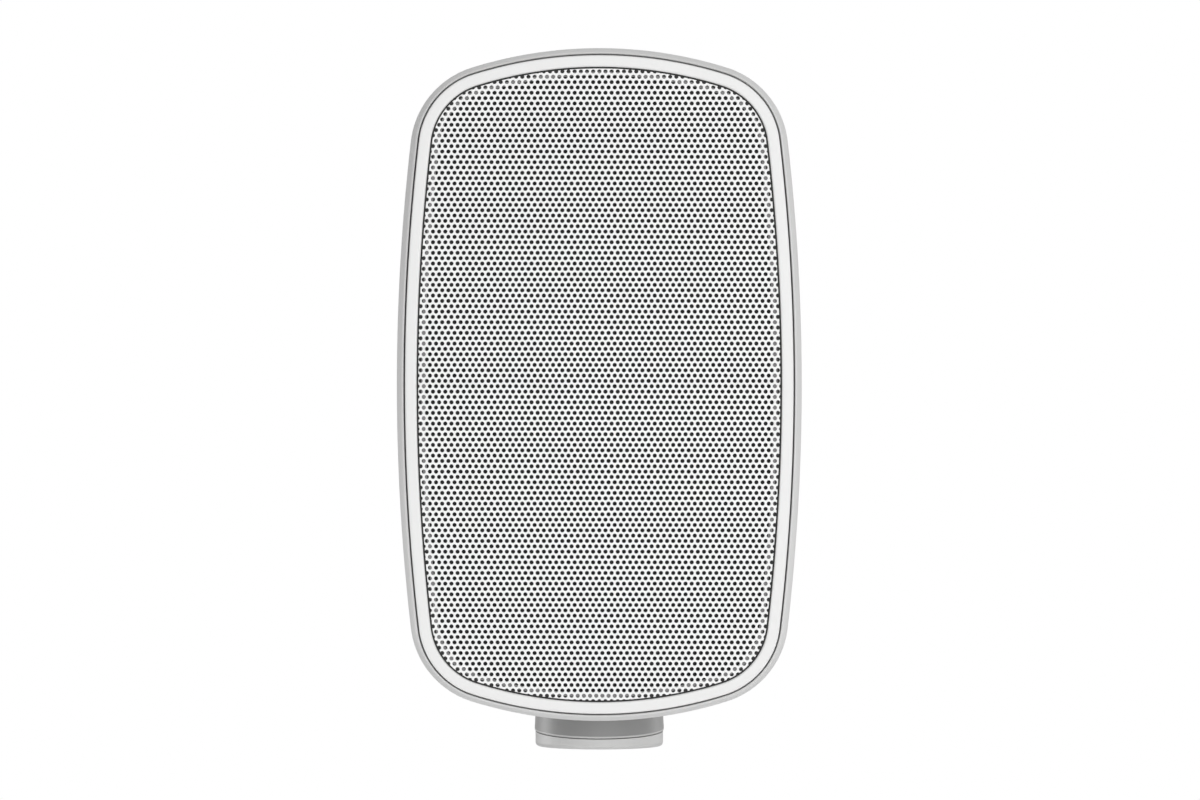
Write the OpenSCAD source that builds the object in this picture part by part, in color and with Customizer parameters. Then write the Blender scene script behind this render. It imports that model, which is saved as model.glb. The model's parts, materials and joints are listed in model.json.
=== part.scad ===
// Two-way wall loudspeaker on a swivel and tilt bracket, in millimetres.
// +Z is up, the grille faces -Y, and the origin is the centre of the wall plate's back face.
// Depths named d are measured backwards from the front of the grille frame.

/* [Cabinet] */
// Width of the cabinet at its widest ring
cab_w = 199; // [194:0.5:240]
// Height of the cabinet at its widest ring
cab_h = 330.5; // [325:0.5:380]
// Depth of the cabinet from the front of the grille frame to the flat back
cab_d = 175; // [165:0.5:220]
// Radius of the bowed sides
side_r = 1040; // [800:10:2000]
// Radius of the bowed top and underside
crown_r = 210; // [190:1:240]
// Radius of the four corners of the widest ring
corner_r = 43; // [36:0.5:50]
// Depth of the widest ring
belly_d = 12; // [10:0.5:20]
// How far the front lip lies inside the widest ring
lip_inset = 4; // [3.6:0.1:6]
// Depth of the front lip
lip_d = 1.3; // [0.8:0.1:2]
// How far the sides have drawn in where the back edge starts to round
back_inset = 20; // [12:0.5:26]
// Radius of the rounded back edge
back_r = 16; // [10:0.5:20]
// Wall thickness of the cabinet
wall_t = 3.5; // [3:0.1:4.5]

/* [Grille] */
// Dark gap between the grille frame and the cabinet lip
frame_gap = 0.9; // [0.5:0.1:1.5]
// Width of the grille frame as seen from the front
frame_w = 5.6; // [5:0.1:7]
// Depth of the grille frame
frame_d = 7; // [6:0.1:7.5]
// Radius of the frame's front edges
frame_edge_r = 0.9; // [0.4:0.1:1.4]
// Depth of the perforated sheet's front face
sheet_d = 0.8; // [0.5:0.1:1.2]
// Thickness of the perforated sheet
sheet_t = 1; // [0.6:0.1:1.4]
// Clearance around the perforated sheet
sheet_gap = 0.6; // [0.3:0.1:0.8]
// Width of the ledge that carries the sheet's edge
ledge_w = 4; // [3:0.1:5]
// Thickness of that ledge
ledge_t = 1.6; // [1.2:0.1:2]
// Thickness of the cloth behind the sheet
cloth_t = 0.5; // [0.3:0.1:0.8]
// Hole diameter of the coarse perforation
hole_dia = 13; // [8:0.5:14]
// Pitch of the coarse perforation
hole_pitch = 23; // [21:0.5:30]
// Length of the frame's pegs behind the frame
peg_l = 8; // [6:0.5:9]
// Radius of the frame's pegs
peg_r = 1.3; // [1:0.1:1.6]

/* [Baffle] */
// Depth of the baffle's front face
baffle_d = 12; // [11.5:0.1:14]
// Thickness of the baffle
baffle_t = 8; // [7:0.5:10]
// Clearance around the baffle
baffle_gap = 0.3; // [0.2:0.1:0.6]
// Thickness of the foam seal behind the baffle
seal_t = 1.5; // [1:0.1:2]
// Width of the ledge that the baffle is screwed to
shelf_w = 9; // [8:0.5:11]
// Thickness of that ledge
shelf_t = 4; // [3:0.5:5]
// Shank radius of the baffle screws
baffle_screw_r = 1.5; // [1.2:0.1:1.8]
// Length of the baffle screws under their heads
baffle_screw_l = 13; // [12:0.5:14]

/* [Woofer] */
// Height of the woofer's axis above the cabinet's centre
woofer_z = -52; // [-60:1:-48]
// Outer radius of the woofer's flange
woofer_r = 82; // [80:0.5:83]
// Thickness of the woofer's flange
woofer_flange_t = 3; // [2.5:0.1:4]
// Inner radius of the woofer's flange
flange_in_r = 70; // [69:0.5:71]
// Depth of the basket behind its flange's front face
basket_h = 52; // [48:1:60]
// Radius of the basket's back ring
basket_back_r = 42; // [40:0.5:46]
// Number of spokes of the basket
spoke_n = 6; // [4:1:8]
// Radius of the half roll of the surround
roll_r = 6.5; // [5.5:0.1:7]
// Thickness of the surround
surround_t = 0.8; // [0.6:0.1:1]
// Thickness of the paper cone
cone_t = 0.9; // [0.7:0.1:1.2]
// Depth of the paper cone
cone_h = 27; // [22:1:30]
// Radius of the voice coil's former
former_r = 16.5; // [15:0.5:18]
// Radius of the magnet ring
magnet_r = 45; // [42:0.5:50]
// Thickness of the magnet ring
magnet_t = 17; // [14:0.5:20]
// Thickness of the motor's steel plates
plate_t = 6; // [5:0.5:8]
// Clearance between the voice coil and the steel on either side
coil_gap = 0.5; // [0.35:0.05:0.8]
// Travel of the cone either way
woofer_travel = 4; // [2:0.5:5]

/* [Tweeter] */
// Height of the tweeter's axis above the cabinet's centre
tweeter_z = 92; // [88:1:96]
// Outer radius of the tweeter's faceplate
tweeter_r = 46; // [44:0.5:48]
// Thickness of the tweeter's faceplate
tweeter_plate_t = 4; // [3:0.1:5]
// Radius of the tweeter's dome
dome_r = 12.5; // [11:0.5:14]
// Height of the tweeter's dome
dome_h = 4.5; // [3:0.1:6]
// Radius of the tweeter's magnet
tweeter_magnet_r = 32; // [28:0.5:36]
// Thickness of the tweeter's magnet
tweeter_magnet_t = 12; // [10:0.5:15]
// Thickness of the tweeter's steel plates
tweeter_steel_t = 4; // [3:0.5:5]

/* [Crossover] */
// Width of the crossover board
board_w = 74; // [70:1:80]
// Height of the crossover board
board_h = 60; // [56:1:64]
// Height of the board's centre above the cabinet's centre
board_z = 22; // [16:1:28]
// Thickness of the crossover board
board_t = 1.6; // [1.2:0.1:2]
// Length of the board's spacers
spacer_l = 8; // [6:0.5:10]

/* [Terminals] */
// Height of the terminal cup's centre above the cabinet's centre
cup_z = -70; // [-80:1:-62]
// Width of the terminal cup's opening
cup_w = 52; // [48:1:58]
// Height of the terminal cup's opening
cup_h = 34; // [32:1:40]
// Depth of the terminal cup
cup_d = 20; // [17:1:24]
// Radius of the cable hole through the gland
cable_r = 3.5; // [3:0.1:3.5]

/* [Bracket] */
// Distance of the swivel axis from the wall
pan_off = 135; // [130:1:160]
// Distance of the swivel axis behind the front of the grille frame
pan_d = 90; // [82:1:100]
// Radius of the swivel drum at its foot
drum_r = 33.8; // [32:0.1:36]
// Height of the swivel drum
drum_h = 11.3; // [10:0.1:14]
// Distance from the cabinet's lowest point down to the drum's top
boss_drop = 4; // [3:0.1:6]
// Clearance at the seam between the drum and the arm
seam_gap = 0.5; // [0.3:0.05:1]
// Radius of the arm's round end
arm_r = 33.4; // [31:0.1:35.5]
// Thickness of the arm at its front edge
arm_t = 5.2; // [4.5:0.1:7]
// Slope of the arm's underside in degrees
arm_slope = 5; // [3:0.5:7]
// Radius of the swivel bolt
pan_bolt_r = 4; // [3:0.1:5]
// Radius of the tilt bolt
tilt_bolt_r = 4; // [3:0.1:5]
// Radius of the arm's knuckle and of the plate's ears
knuckle_r = 10; // [9:0.1:12]
// Width of the arm's knuckle
knuckle_w = 24; // [20:1:28]
// Thickness of each ear
ear_t = 7; // [5:0.5:8]
// Distance of the tilt axis from the wall
tilt_off = 24; // [22:0.5:30]
// Running clearance of the two pivot bolts
pivot_gap = 0.08; // [0.02:0.01:0.1]
// Width of the wall plate
plate_w = 66; // [60:1:72]
// Height of the wall plate
plate_h = 112; // [108:1:130]
// Thickness of the wall plate
wall_plate_t = 6; // [5:0.5:8]
// Distance between the wall screw holes across the plate
bolt_dx = 52; // [50:1:54]
// Distance between the wall screw holes up the plate
bolt_dz = 90; // [86:1:92]
// Radius of the wall screw holes
bolt_hole_r = 2.75; // [2:0.05:3.5]
// Height of the arm's flat top below the plate's centre
arm_drop = 29.7; // [26:0.1:34]

/* [Hidden] */

// Smoothness of turned pieces
$fn = 64;
// General running clearance between pieces that don't move on each other
clear = 0.3;
// Clearance of a screw's shank in the hole that its thread fills
thread_gap = 0.05;
// How far cuts and joined bodies run past each other, where they may touch and where they lie deep
e = 0.01;
lap = 1;
// How much wider the corners of a ring turn for each millimetre that it is drawn in
corner_ease = 0.3;

// Segments of a quarter outline: along the side, round the corner and along the crown
side_n = 3;
corner_n = 6;
crown_n = 5;

// Places that follow from the sizes
front_y = -pan_off - pan_d;
drum_top_z = -arm_drop + seam_gap + drum_h;
cab_z = drum_top_z + boss_drop + cab_h / 2;
frame_inset = lip_inset + frame_gap;
sheet_inset = frame_inset + frame_w;
baffle_inset = lip_inset + baffle_gap;
baffle_back_d = baffle_d + baffle_t;
shelf_d = baffle_back_d + seal_t;
inner_back_d = cab_d - wall_t;

// Corner radius of a ring of the front that is drawn in by inset
least_corner_r = 5;
function corner(inset) = max(corner_r - inset, least_corner_r);

// A quarter of the bowed outline, drawn in by inset, from the right-hand side up to the top
function quarter(inset, rc) =
  let (sx = cab_w / 2 - side_r)
  let (tz = cab_h / 2 - crown_r)
  let (rs = side_r - inset)
  let (rt = crown_r - inset)
  let (gap = norm([sx, tz]))
  let (along = ((rs - rc) ^ 2 - (rt - rc) ^ 2 + gap ^ 2) / (2 * gap))
  let (aside = sqrt((rs - rc) ^ 2 - along ^ 2))
  let (u = [-sx, tz] / gap)
  let (q = [sx, 0] + along * u + aside * [-u.y, u.x])
  let (side_end = atan2(q.y, q.x - sx))
  let (crown_start = atan2(q.y - tz, q.x))
  [
    for (k = [0:side_n - 1])
      let (t = side_end * k / side_n)
      [sx + rs * cos(t), rs * sin(t)],
    for (k = [0:corner_n - 1])
      let (t = side_end + (crown_start - side_end) * k / corner_n)
      q + rc * [cos(t), sin(t)],
    for (k = [0:crown_n])
      let (t = crown_start + (90 - crown_start) * k / crown_n)
      [rt * cos(t), tz + rt * sin(t)]
  ];

// The whole outline, anticlockwise from the right-hand side
function ring(inset, rc) =
  let (q = quarter(inset, rc))
  let (n = len(q) - 1)
  concat(
    [for (k = [0:n - 1]) q[k]],
    [for (k = [n:-1:1]) [-q[k].x, q[k].y]],
    [for (k = [0:n - 1]) -q[k]],
    [for (k = [n:-1:1]) [q[k].x, -q[k].y]]
  );

// The points of a row of rings, each ring given as [inset, depth, corner radius]
function ring_points(rows) = [
  for (r = rows)
    for (p = ring(r[0], r[2]))
      [p.x, front_y + r[1], cab_z + p.y]
];

// The two triangles between neighbouring points of neighbouring rings
function band_faces(i, j, n) = [
  for (k = [0:n - 1])
    let (m = (k + 1) % n)
    for (f = [[i * n + k, j * n + k, j * n + m], [i * n + k, j * n + m, i * n + m]])
      f
];

// A skin over a row of rings, closed by a flat face at both ends
module capped_skin(rows) {
  n = len(ring(0, corner_r));
  last = len(rows) - 1;
  walls = [for (i = [0:last - 1]) each band_faces(i, i + 1, n)];
  start_cap = [for (k = [0:n - 1]) k];
  end_cap = [for (k = [n - 1:-1:0]) last * n + k];
  polyhedron(points = ring_points(rows), faces = concat(walls, [start_cap, end_cap]));
}

// A frame made by carrying a closed profile round the outline
module closed_skin(rows) {
  n = len(ring(0, corner_r));
  count = len(rows);
  walls = [for (i = [0:count - 1]) each band_faces(i, (i + 1) % count, n)];
  polyhedron(points = ring_points(rows), faces = walls);
}

// Puts a piece at a place on the cabinet, with its own +Z pointing backwards
module from_front(x, z, d) {
  translate([x, front_y + d, cab_z + z]) rotate([-90, 0, 0]) children();
}

// A flat piece of the bowed outline, drawn in by inset, from depth d backwards
module outline_plate(inset, d, t) {
  from_front(0, 0, d) linear_extrude(height = t) polygon(ring(inset, corner(inset)));
}

// A washer or tube about the local Z axis
module tube(r_out, r_in, h) {
  difference() {
    cylinder(r = r_out, h = h);
    translate([0, 0, -e]) cylinder(r = r_in, h = h + 2 * e);
  }
}

// A screw with a domed head: the head's underside is at z = 0 and the shank runs along +Z
module screw(shank_r, shank_l, head_r, head_h) {
  rotate_extrude() polygon([
    [0, -head_h], [head_r * 0.6, -head_h], [head_r * 0.92, -head_h * 0.6], [head_r, 0],
    [shank_r, 0], [shank_r, shank_l - shank_r], [0, shank_l]
  ]);
}

// Two directions square to a wire's direction
function frame_at(dir) =
  let (side = abs(dir.z) > 0.9 ? [1, 0, 0] : [0, 0, 1])
  let (u = cross(dir, side) / norm(cross(dir, side)))
  [u, cross(dir, u)];

// Direction of a path at its point i
function heading(path, i) =
  let (a = path[max(i - 1, 0)])
  let (b = path[min(i + 1, len(path) - 1)])
  (b - a) / norm(b - a);

// A wire with eight flat sides through a list of points
module wire(path, r) {
  sides = 8;
  last = len(path) - 1;
  points = [
    for (i = [0:last])
      let (f = frame_at(heading(path, i)))
      for (k = [0:sides - 1])
        path[i] + r * (f[0] * cos(360 * k / sides) + f[1] * sin(360 * k / sides))
  ];
  walls = [for (i = [0:last - 1]) each band_faces(i, i + 1, sides)];
  start_cap = [for (k = [0:sides - 1]) k];
  end_cap = [for (k = [sides - 1:-1:0]) last * sides + k];
  polyhedron(points = points, faces = concat(walls, [start_cap, end_cap]));
}

// Cabinet shell. One moulding: a bowed skin open at the front, with a screw ledge inside.

// Shape of the skin from the lip to the back, as inset at a depth
lip_edge = 0.4;
front_power = 1.6;
back_power = 1.8;
back_run = cab_d - back_r - belly_d;
back_tilt = atan(back_power * back_inset / back_run);
back_start = cab_d - back_r * (1 - sin(back_tilt));
back_centre = back_inset + back_r * cos(back_tilt);
function flare(s) = [
  (lip_inset - 2 * lip_edge) * (1 - s) ^ front_power,
  lip_d + lip_edge + (belly_d - lip_d - lip_edge) * s
];
function draw_in(s) = [back_inset * s ^ back_power, belly_d + (back_start - belly_d) * s];
function back_edge(t, r) = [back_centre - r * cos(t), cab_d - back_r + r * sin(t)];
function soft_corner(inset) = corner_r + corner_ease * inset;
function outer_row(p) = [p.x, p.y, soft_corner(p.x)];
function inner_row(p) = [p.x + wall_t, p.y, soft_corner(p.x) - wall_t];
function front_row(inset, d) = [inset, d, corner(inset)];
edge_steps = 4;
body_steps = 4;
edge_angles = [for (k = [0:edge_steps]) back_tilt + (90 - back_tilt) * k / edge_steps];

outer_rows = [
  for (k = [edge_steps:-1:0]) outer_row(back_edge(edge_angles[k], back_r)),
  for (k = [body_steps - 1:-1:0]) outer_row(draw_in(k / body_steps)),
  for (k = [body_steps - 1:-1:0]) let (p = flare(k / body_steps)) front_row(p.x, p.y),
  front_row(lip_inset - lip_edge, lip_d)
];
inner_rows = [
  front_row(lip_inset, lip_d + lip_edge),
  front_row(lip_inset, shelf_d),
  front_row(lip_inset + shelf_w, shelf_d),
  front_row(lip_inset + shelf_w, shelf_d + shelf_t),
  for (k = [1:body_steps - 1]) inner_row(draw_in(k / body_steps)),
  for (k = [0:edge_steps])
    let (p = back_edge(edge_angles[k], back_r - wall_t))
    [p.x, p.y, soft_corner(p.x) - wall_t]
];

// Half width of the outline at height z, drawn in by inset
function half_width(z, inset) =
  cab_w / 2 - side_r + sqrt((side_r - inset) ^ 2 - z ^ 2);
// Half height of the outline at x, drawn in by inset
function half_height(x, inset) =
  cab_h / 2 - crown_r + sqrt((crown_r - inset) ^ 2 - x ^ 2);

// Screws round the baffle: three down each side, one at the top and one at the bottom
screw_off_mid = 0.5;
screw_inset = lip_inset + shelf_w / 2 + screw_off_mid;
screw_from_end = 57;
side_screw_z = cab_h / 2 - screw_from_end;
baffle_screw_places = concat(
  [for (z = [-side_screw_z, 0, side_screw_z], s = [-1, 1]) [s * half_width(z, screw_inset), z]],
  [for (s = [-1, 1]) [0, s * half_height(0, screw_inset)]]
);
baffle_screw_head_r = 3;
baffle_screw_head_h = 2;
baffle_sink = 3;
boss_wall = 2.4;
screw_boss_l = 4;

// Boss for the bracket under the cabinet, a step narrower than the drum's top
drum_taper = 0.5;
boss_step = 0.1;
boss_rise = 17;
boss_r = drum_r - drum_taper - boss_step;
boss_top_z = drum_top_z + boss_drop + boss_rise;
mount_screw_r = 2.5;
mount_screw_off = 20;
mount_screw_places = [for (x = [-1, 1], y = [-1, 1]) [x * mount_screw_off, y * mount_screw_off]];

// Threaded insert for a safety line
insert_z = -30;
insert_r = 4.5;
insert_l = 12;
insert_thread_r = 2.5;
insert_floor = 2;
insert_sink = 1;
insert_press = 0.02;

// Board screws
board_screw_r = 1.25;
board_screw_edge = 5;
board_hole_l = 2.8;
board_screw_x = board_w / 2 - board_screw_edge;
board_screw_z = board_h / 2 - board_screw_edge;
board_screw_places = [for (x = [-1, 1], z = [-1, 1]) [x * board_screw_x, z * board_screw_z]];

// Terminal cup screws
cup_flange_side = 10;
cup_flange_end = 5;
cup_flange_w = cup_w + 2 * cup_flange_side;
cup_flange_h = cup_h + 2 * cup_flange_end;
cup_flange_t = 2;
cup_screw_r = 1.4;
cup_screw_off = 5.5;
cup_screw_x = cup_w / 2 + cup_screw_off;
cup_screw_z = cup_h / 2;
cup_screw_places = [for (x = [-1, 1], z = [-1, 1]) [x * cup_screw_x, z * cup_screw_z]];

module cabinet_shell() {
  color("#dcdcda") difference() {
    union() {
      capped_skin(concat(outer_rows, inner_rows));
      for (p = baffle_screw_places) {
        from_front(p.x, p.y, shelf_d + shelf_t - lap)
          cylinder(r = baffle_screw_r + boss_wall, h = screw_boss_l + lap);
      }
      translate([0, -pan_off, drum_top_z]) cylinder(r = boss_r, h = boss_top_z - drum_top_z);
      from_front(0, insert_z, inner_back_d - insert_l - insert_floor)
        cylinder(r = insert_r + boss_wall, h = insert_l + insert_floor + e);
    }
    for (p = baffle_screw_places) {
      from_front(p.x, p.y, shelf_d - e)
        cylinder(r = baffle_screw_r + thread_gap, h = shelf_t + screw_boss_l + lap);
    }
    for (p = mount_screw_places) {
      translate([p.x, -pan_off + p.y, drum_top_z - e])
        cylinder(r = mount_screw_r + clear, h = boss_top_z - drum_top_z + 2 * e);
    }
    translate([0, -pan_off, drum_top_z - e])
      cylinder(r = pan_bolt_r + clear, h = boss_top_z - drum_top_z + 2 * e);
    from_front(0, insert_z, inner_back_d - insert_l) cylinder(r = insert_r, h = insert_l + wall_t + lap);
    for (p = board_screw_places) {
      from_front(p.x, board_z + p.y, inner_back_d - e)
        cylinder(r = board_screw_r + thread_gap, h = board_hole_l);
    }
    from_front(0, cup_z, inner_back_d - lap)
      linear_extrude(height = wall_t + 2 * lap) square([cup_w, cup_h], center = true);
    for (p = cup_screw_places) {
      from_front(p.x, cup_z + p.y, inner_back_d - lap)
        cylinder(r = cup_screw_r + thread_gap, h = wall_t + 2 * lap);
    }
  }
}

// Front baffle. A flat moulded board that carries both drive units.
neck_step = 0.3;
basket_wall = 2.5;
woofer_cut_gap = 1.2;
woofer_neck_r = flange_in_r + neck_step + basket_wall;
woofer_cut_r = woofer_neck_r + woofer_cut_gap;
woofer_screw_n = 8;
woofer_screw_r = 1.6;
gasket_t = 1.6;
gasket_w = 5.7;
woofer_screw_ring = woofer_r - gasket_w / 2;
woofer_screw_places = [
  for (k = [0:woofer_screw_n - 1])
    let (t = 360 * (k + 0.5) / woofer_screw_n)
    woofer_screw_ring * [cos(t), sin(t)]
];
tweeter_sink = 3;
tweeter_cut_gap = 1.5;
tweeter_cut_r = tweeter_magnet_r + tweeter_cut_gap;
tweeter_screw_r = 1.5;
tweeter_screw_ring = (tweeter_cut_r + tweeter_r) / 2;
tweeter_screw_places = [
  for (t = [45:90:315]) tweeter_screw_ring * [cos(t), sin(t)]
];

// Pegs of the grille frame: between the drive units, beside the woofer's foot, and two above and below
peg_inset = frame_inset + frame_w / 2;
peg_over_woofer = 8;
peg_from_end = 47;
peg_from_side = 60;
side_peg_z = [woofer_z + woofer_r + peg_over_woofer, peg_from_end - cab_h / 2];
crown_peg_x = cab_w / 2 - peg_from_side;
peg_places = concat(
  [for (z = side_peg_z, s = [-1, 1]) [s * half_width(z, peg_inset), z]],
  [for (x = [-1, 1], s = [-1, 1]) [x * crown_peg_x, s * half_height(crown_peg_x, peg_inset)]]
);
peg_cup_wall = 1.6;
peg_cup_l = 5;

module front_baffle() {
  color("#1c1c1c") difference() {
    outline_plate(baffle_inset, baffle_d, baffle_t);
    from_front(0, woofer_z, baffle_d - e) {
      cylinder(r = woofer_r + clear, h = woofer_flange_t + e);
      cylinder(r = woofer_cut_r, h = baffle_t + lap);
      for (p = woofer_screw_places) {
        translate([p.x, p.y, 0]) cylinder(r = woofer_screw_r + thread_gap, h = baffle_t + lap);
      }
    }
    from_front(0, tweeter_z, baffle_d - e) {
      cylinder(r = tweeter_r + clear, h = tweeter_sink + e);
      cylinder(r = tweeter_cut_r, h = baffle_t + lap);
      for (p = tweeter_screw_places) {
        translate([p.x, p.y, 0]) cylinder(r = tweeter_screw_r + thread_gap, h = baffle_t + lap);
      }
    }
    for (p = baffle_screw_places) {
      from_front(p.x, p.y, baffle_d - e) {
        cylinder(r = baffle_screw_r + clear, h = baffle_t + lap);
        cylinder(r = baffle_screw_head_r + clear, h = baffle_sink + e);
      }
    }
    for (p = peg_places) {
      from_front(p.x, p.y, baffle_d - e) cylinder(r = peg_r + thread_gap + peg_cup_wall, h = peg_cup_l + e);
    }
  }
}

// Foam seal between the baffle and the cabinet's ledge, a little smaller than the baffle.
seal_step = 0.8;
module baffle_seal() {
  color("#303030") difference() {
    outline_plate(baffle_inset + seal_step, baffle_back_d, seal_t);
    outline_plate(lip_inset + shelf_w, baffle_back_d - lap, seal_t + 2 * lap);
    for (p = baffle_screw_places) {
      from_front(p.x, p.y, baffle_back_d - lap) cylinder(r = baffle_screw_r + clear, h = seal_t + 2 * lap);
    }
  }
}

// Screws that hold the baffle on the cabinet's ledge
module baffle_screws() {
  color("#8c8c8c") for (p = baffle_screw_places) {
    from_front(p.x, p.y, baffle_d + baffle_sink)
      screw(baffle_screw_r, baffle_screw_l, baffle_screw_head_r, baffle_screw_head_h);
  }
}

// Grille frame. One moulded ring with round front edges, a ledge for the sheet and eight pegs.
ledge_d = sheet_d + sheet_t;
frame_mid = frame_edge_r * (1 - cos(45));
frame_rows = [
  front_row(frame_inset, frame_d),
  front_row(frame_inset, frame_edge_r),
  front_row(frame_inset + frame_mid, frame_mid),
  front_row(frame_inset + frame_edge_r, 0),
  front_row(sheet_inset - frame_edge_r, 0),
  front_row(sheet_inset - frame_mid, frame_mid),
  front_row(sheet_inset, frame_edge_r),
  front_row(sheet_inset, ledge_d),
  front_row(sheet_inset + ledge_w, ledge_d),
  front_row(sheet_inset + ledge_w, ledge_d + ledge_t),
  front_row(sheet_inset, ledge_d + ledge_t),
  front_row(sheet_inset, frame_d)
];
peg_shoulder_r = 2.2;

module grille_frame() {
  color("#e9e9e8") union() {
    closed_skin(frame_rows);
    for (p = peg_places) {
      from_front(p.x, p.y, frame_d - lap) cylinder(r = peg_shoulder_r, h = baffle_d - frame_d + lap);
      from_front(p.x, p.y, baffle_d - lap) cylinder(r = peg_r, h = peg_l - baffle_d + frame_d + lap);
    }
  }
}

// Perforated steel sheet. The holes stand in staggered rows, coarser than the real ones.
function inside(p, margin) =
  let (ds = norm([abs(p.x) - cab_w / 2 + side_r, p.y]) - (side_r - corner_r))
  let (dt = norm([p.x, abs(p.y) - cab_h / 2 + crown_r]) - (crown_r - corner_r))
  let (far = ds > 0 && dt > 0 ? norm([ds, dt]) : max(ds, dt))
  far - corner_r < -margin;
sheet_edge = 2;
hole_margin = sheet_inset + sheet_gap + hole_dia / 2 + sheet_edge;
row_pitch = hole_pitch * sqrt(3) / 2;
half_rows = floor(cab_h / 2 / row_pitch);
half_columns = floor(cab_w / 2 / hole_pitch) + 1;
hole_places = [
  for (j = [-half_rows:half_rows], i = [-half_columns:half_columns])
    let (p = [(i + (j % 2 == 0 ? 0 : 0.5)) * hole_pitch, j * row_pitch])
    if (inside(p, hole_margin)) p
];

module grille_sheet() {
  color("#f7f7f7") from_front(0, 0, sheet_d) linear_extrude(height = sheet_t) difference() {
    polygon(ring(sheet_inset + sheet_gap, corner(sheet_inset + sheet_gap)));
    for (p = hole_places) {
      translate(p) circle(d = hole_dia, $fn = 24);
    }
  }
}

// Black cloth glued behind the sheet, inside the frame's ledge.
module grille_cloth() {
  color("#101010") outline_plate(sheet_inset + ledge_w + clear, ledge_d, cloth_t);
}

// Rubber cups in the baffle that hold the frame's pegs.
module peg_cups() {
  color("#202020") for (p = peg_places) {
    from_front(p.x, p.y, baffle_d)
      tube(peg_r + thread_gap + peg_cup_wall - e, peg_r + thread_gap, peg_cup_l - e);
  }
}

// Woofer. Places are measured from its axis and from the baffle's front face.
module at_woofer(d) {
  from_front(0, woofer_z, baffle_d + d) children();
}
basket_neck = 9;
spider_d = 34;
spider_seat = 1;
spider_land_t = 3;
spider_land_r = 46;
spider_in_land_r = 40;
back_ring_t = 4;
back_ring_in_r = 21;
spoke_w = 9;
spoke_out = 2;
spoke_in = 6;
spoke_foot = 10;
winding_t = 0.8;
former_t = 0.3;
coil_out_r = former_r + winding_t;
top_plate_d = basket_h;
magnet_d = top_plate_d + plate_t;
yoke_d = magnet_d + magnet_t;
roll_out_r = flange_in_r;
roll_mid_r = roll_out_r - roll_r;
roll_in_r = roll_out_r - 2 * roll_r;
lip_w = 4;
cone_edge_r = roll_in_r;
cone_neck_r = former_r + thread_gap;

// One spoke, seen from the side, from the neck past the spider's rim to the back ring
module basket_spoke() {
  neck_in_r = flange_in_r + neck_step;
  rim_d = spider_d + spider_seat + spider_land_t;
  foot_d = basket_h - back_ring_t;
  rotate([90, 0, 0]) translate([0, 0, -spoke_w / 2]) linear_extrude(height = spoke_w) polygon([
    [neck_in_r, woofer_flange_t - lap], [woofer_neck_r, woofer_flange_t - lap],
    [woofer_neck_r, basket_neck + lap], [spider_land_r + spoke_out, rim_d],
    [basket_back_r, basket_h], [basket_back_r - spoke_foot, basket_h],
    [basket_back_r - spoke_foot, foot_d], [spider_land_r - spoke_in, foot_d - spoke_out],
    [spider_land_r - spoke_out, spider_d + spider_seat / 2], [neck_in_r, basket_neck]
  ]);
}

// Pressed steel basket: flange, neck, spokes, the spider's rim and the back ring
module woofer_basket() {
  color("#2b2b2b") at_woofer(0) difference() {
    union() {
      tube(woofer_r, flange_in_r, woofer_flange_t);
      tube(woofer_neck_r, flange_in_r, basket_neck);
      for (k = [0:spoke_n - 1]) {
        rotate(360 * k / spoke_n) basket_spoke();
      }
      translate([0, 0, spider_d + spider_seat]) tube(spider_land_r, spider_in_land_r, spider_land_t);
      translate([0, 0, basket_h - back_ring_t]) tube(basket_back_r, back_ring_in_r, back_ring_t);
    }
    for (p = woofer_screw_places) {
      translate([p.x, p.y, -lap]) cylinder(r = woofer_screw_r + clear, h = woofer_flange_t + 2 * lap);
    }
  }
}

// Foam ring on the flange, in front of the surround's outer edge
module woofer_gasket() {
  color("#151515") at_woofer(-gasket_t) difference() {
    tube(woofer_r, woofer_r - gasket_w, gasket_t);
    for (p = woofer_screw_places) {
      translate([p.x, p.y, -lap]) cylinder(r = woofer_screw_r + clear, h = gasket_t + 2 * lap);
    }
  }
}

// Screws through the gasket and the flange into the baffle
woofer_screw_l = 12;
woofer_head_r = 2.6;
woofer_head_h = 1.8;
module woofer_screws() {
  color("#3a3a3a") for (p = woofer_screw_places) {
    at_woofer(-gasket_t) translate([p.x, p.y, 0])
      screw(woofer_screw_r, woofer_screw_l, woofer_head_r, woofer_head_h);
  }
}

// Half roll of rubber from the flange to the cone's edge
module woofer_surround() {
  steps = 10;
  out_lip_r = woofer_r - gasket_w - clear;
  in_lip_r = roll_in_r - lip_w;
  color("#1a1a1a") at_woofer(0) rotate_extrude() polygon(concat(
    [[out_lip_r, 0], [out_lip_r, -surround_t], [roll_out_r, -surround_t]],
    [for (k = [0:steps])
      let (t = 180 * k / steps)
      [roll_mid_r + roll_r * cos(t), -surround_t - roll_r * sin(t)]],
    [[in_lip_r, -surround_t], [in_lip_r, 0]],
    [for (k = [steps:-1:0])
      let (t = 180 * k / steps)
      [roll_mid_r + (roll_r - surround_t) * cos(t), -surround_t - (roll_r - surround_t) * sin(t)]]
  ));
}

// Points along the front of the paper cone, from its edge to its neck, bowed a little outwards
cone_bow = 0.15;
function cone_front(s) = [
  cone_edge_r - lip_w + (cone_neck_r - cone_edge_r + lip_w) * s,
  clear + cone_h * ((1 + cone_bow) * s - cone_bow * s ^ 2)
];
cone_steps = 6;

// Paper cone, glued behind the surround's inner edge
module woofer_cone() {
  front = concat([[cone_edge_r, clear]], [for (k = [0:cone_steps]) cone_front(k / cone_steps)]);
  back = [for (k = [len(front) - 1:-1:0]) front[k] + [0, cone_t]];
  color("#222222") at_woofer(0) rotate_extrude() polygon(concat(front, back));
}

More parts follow.
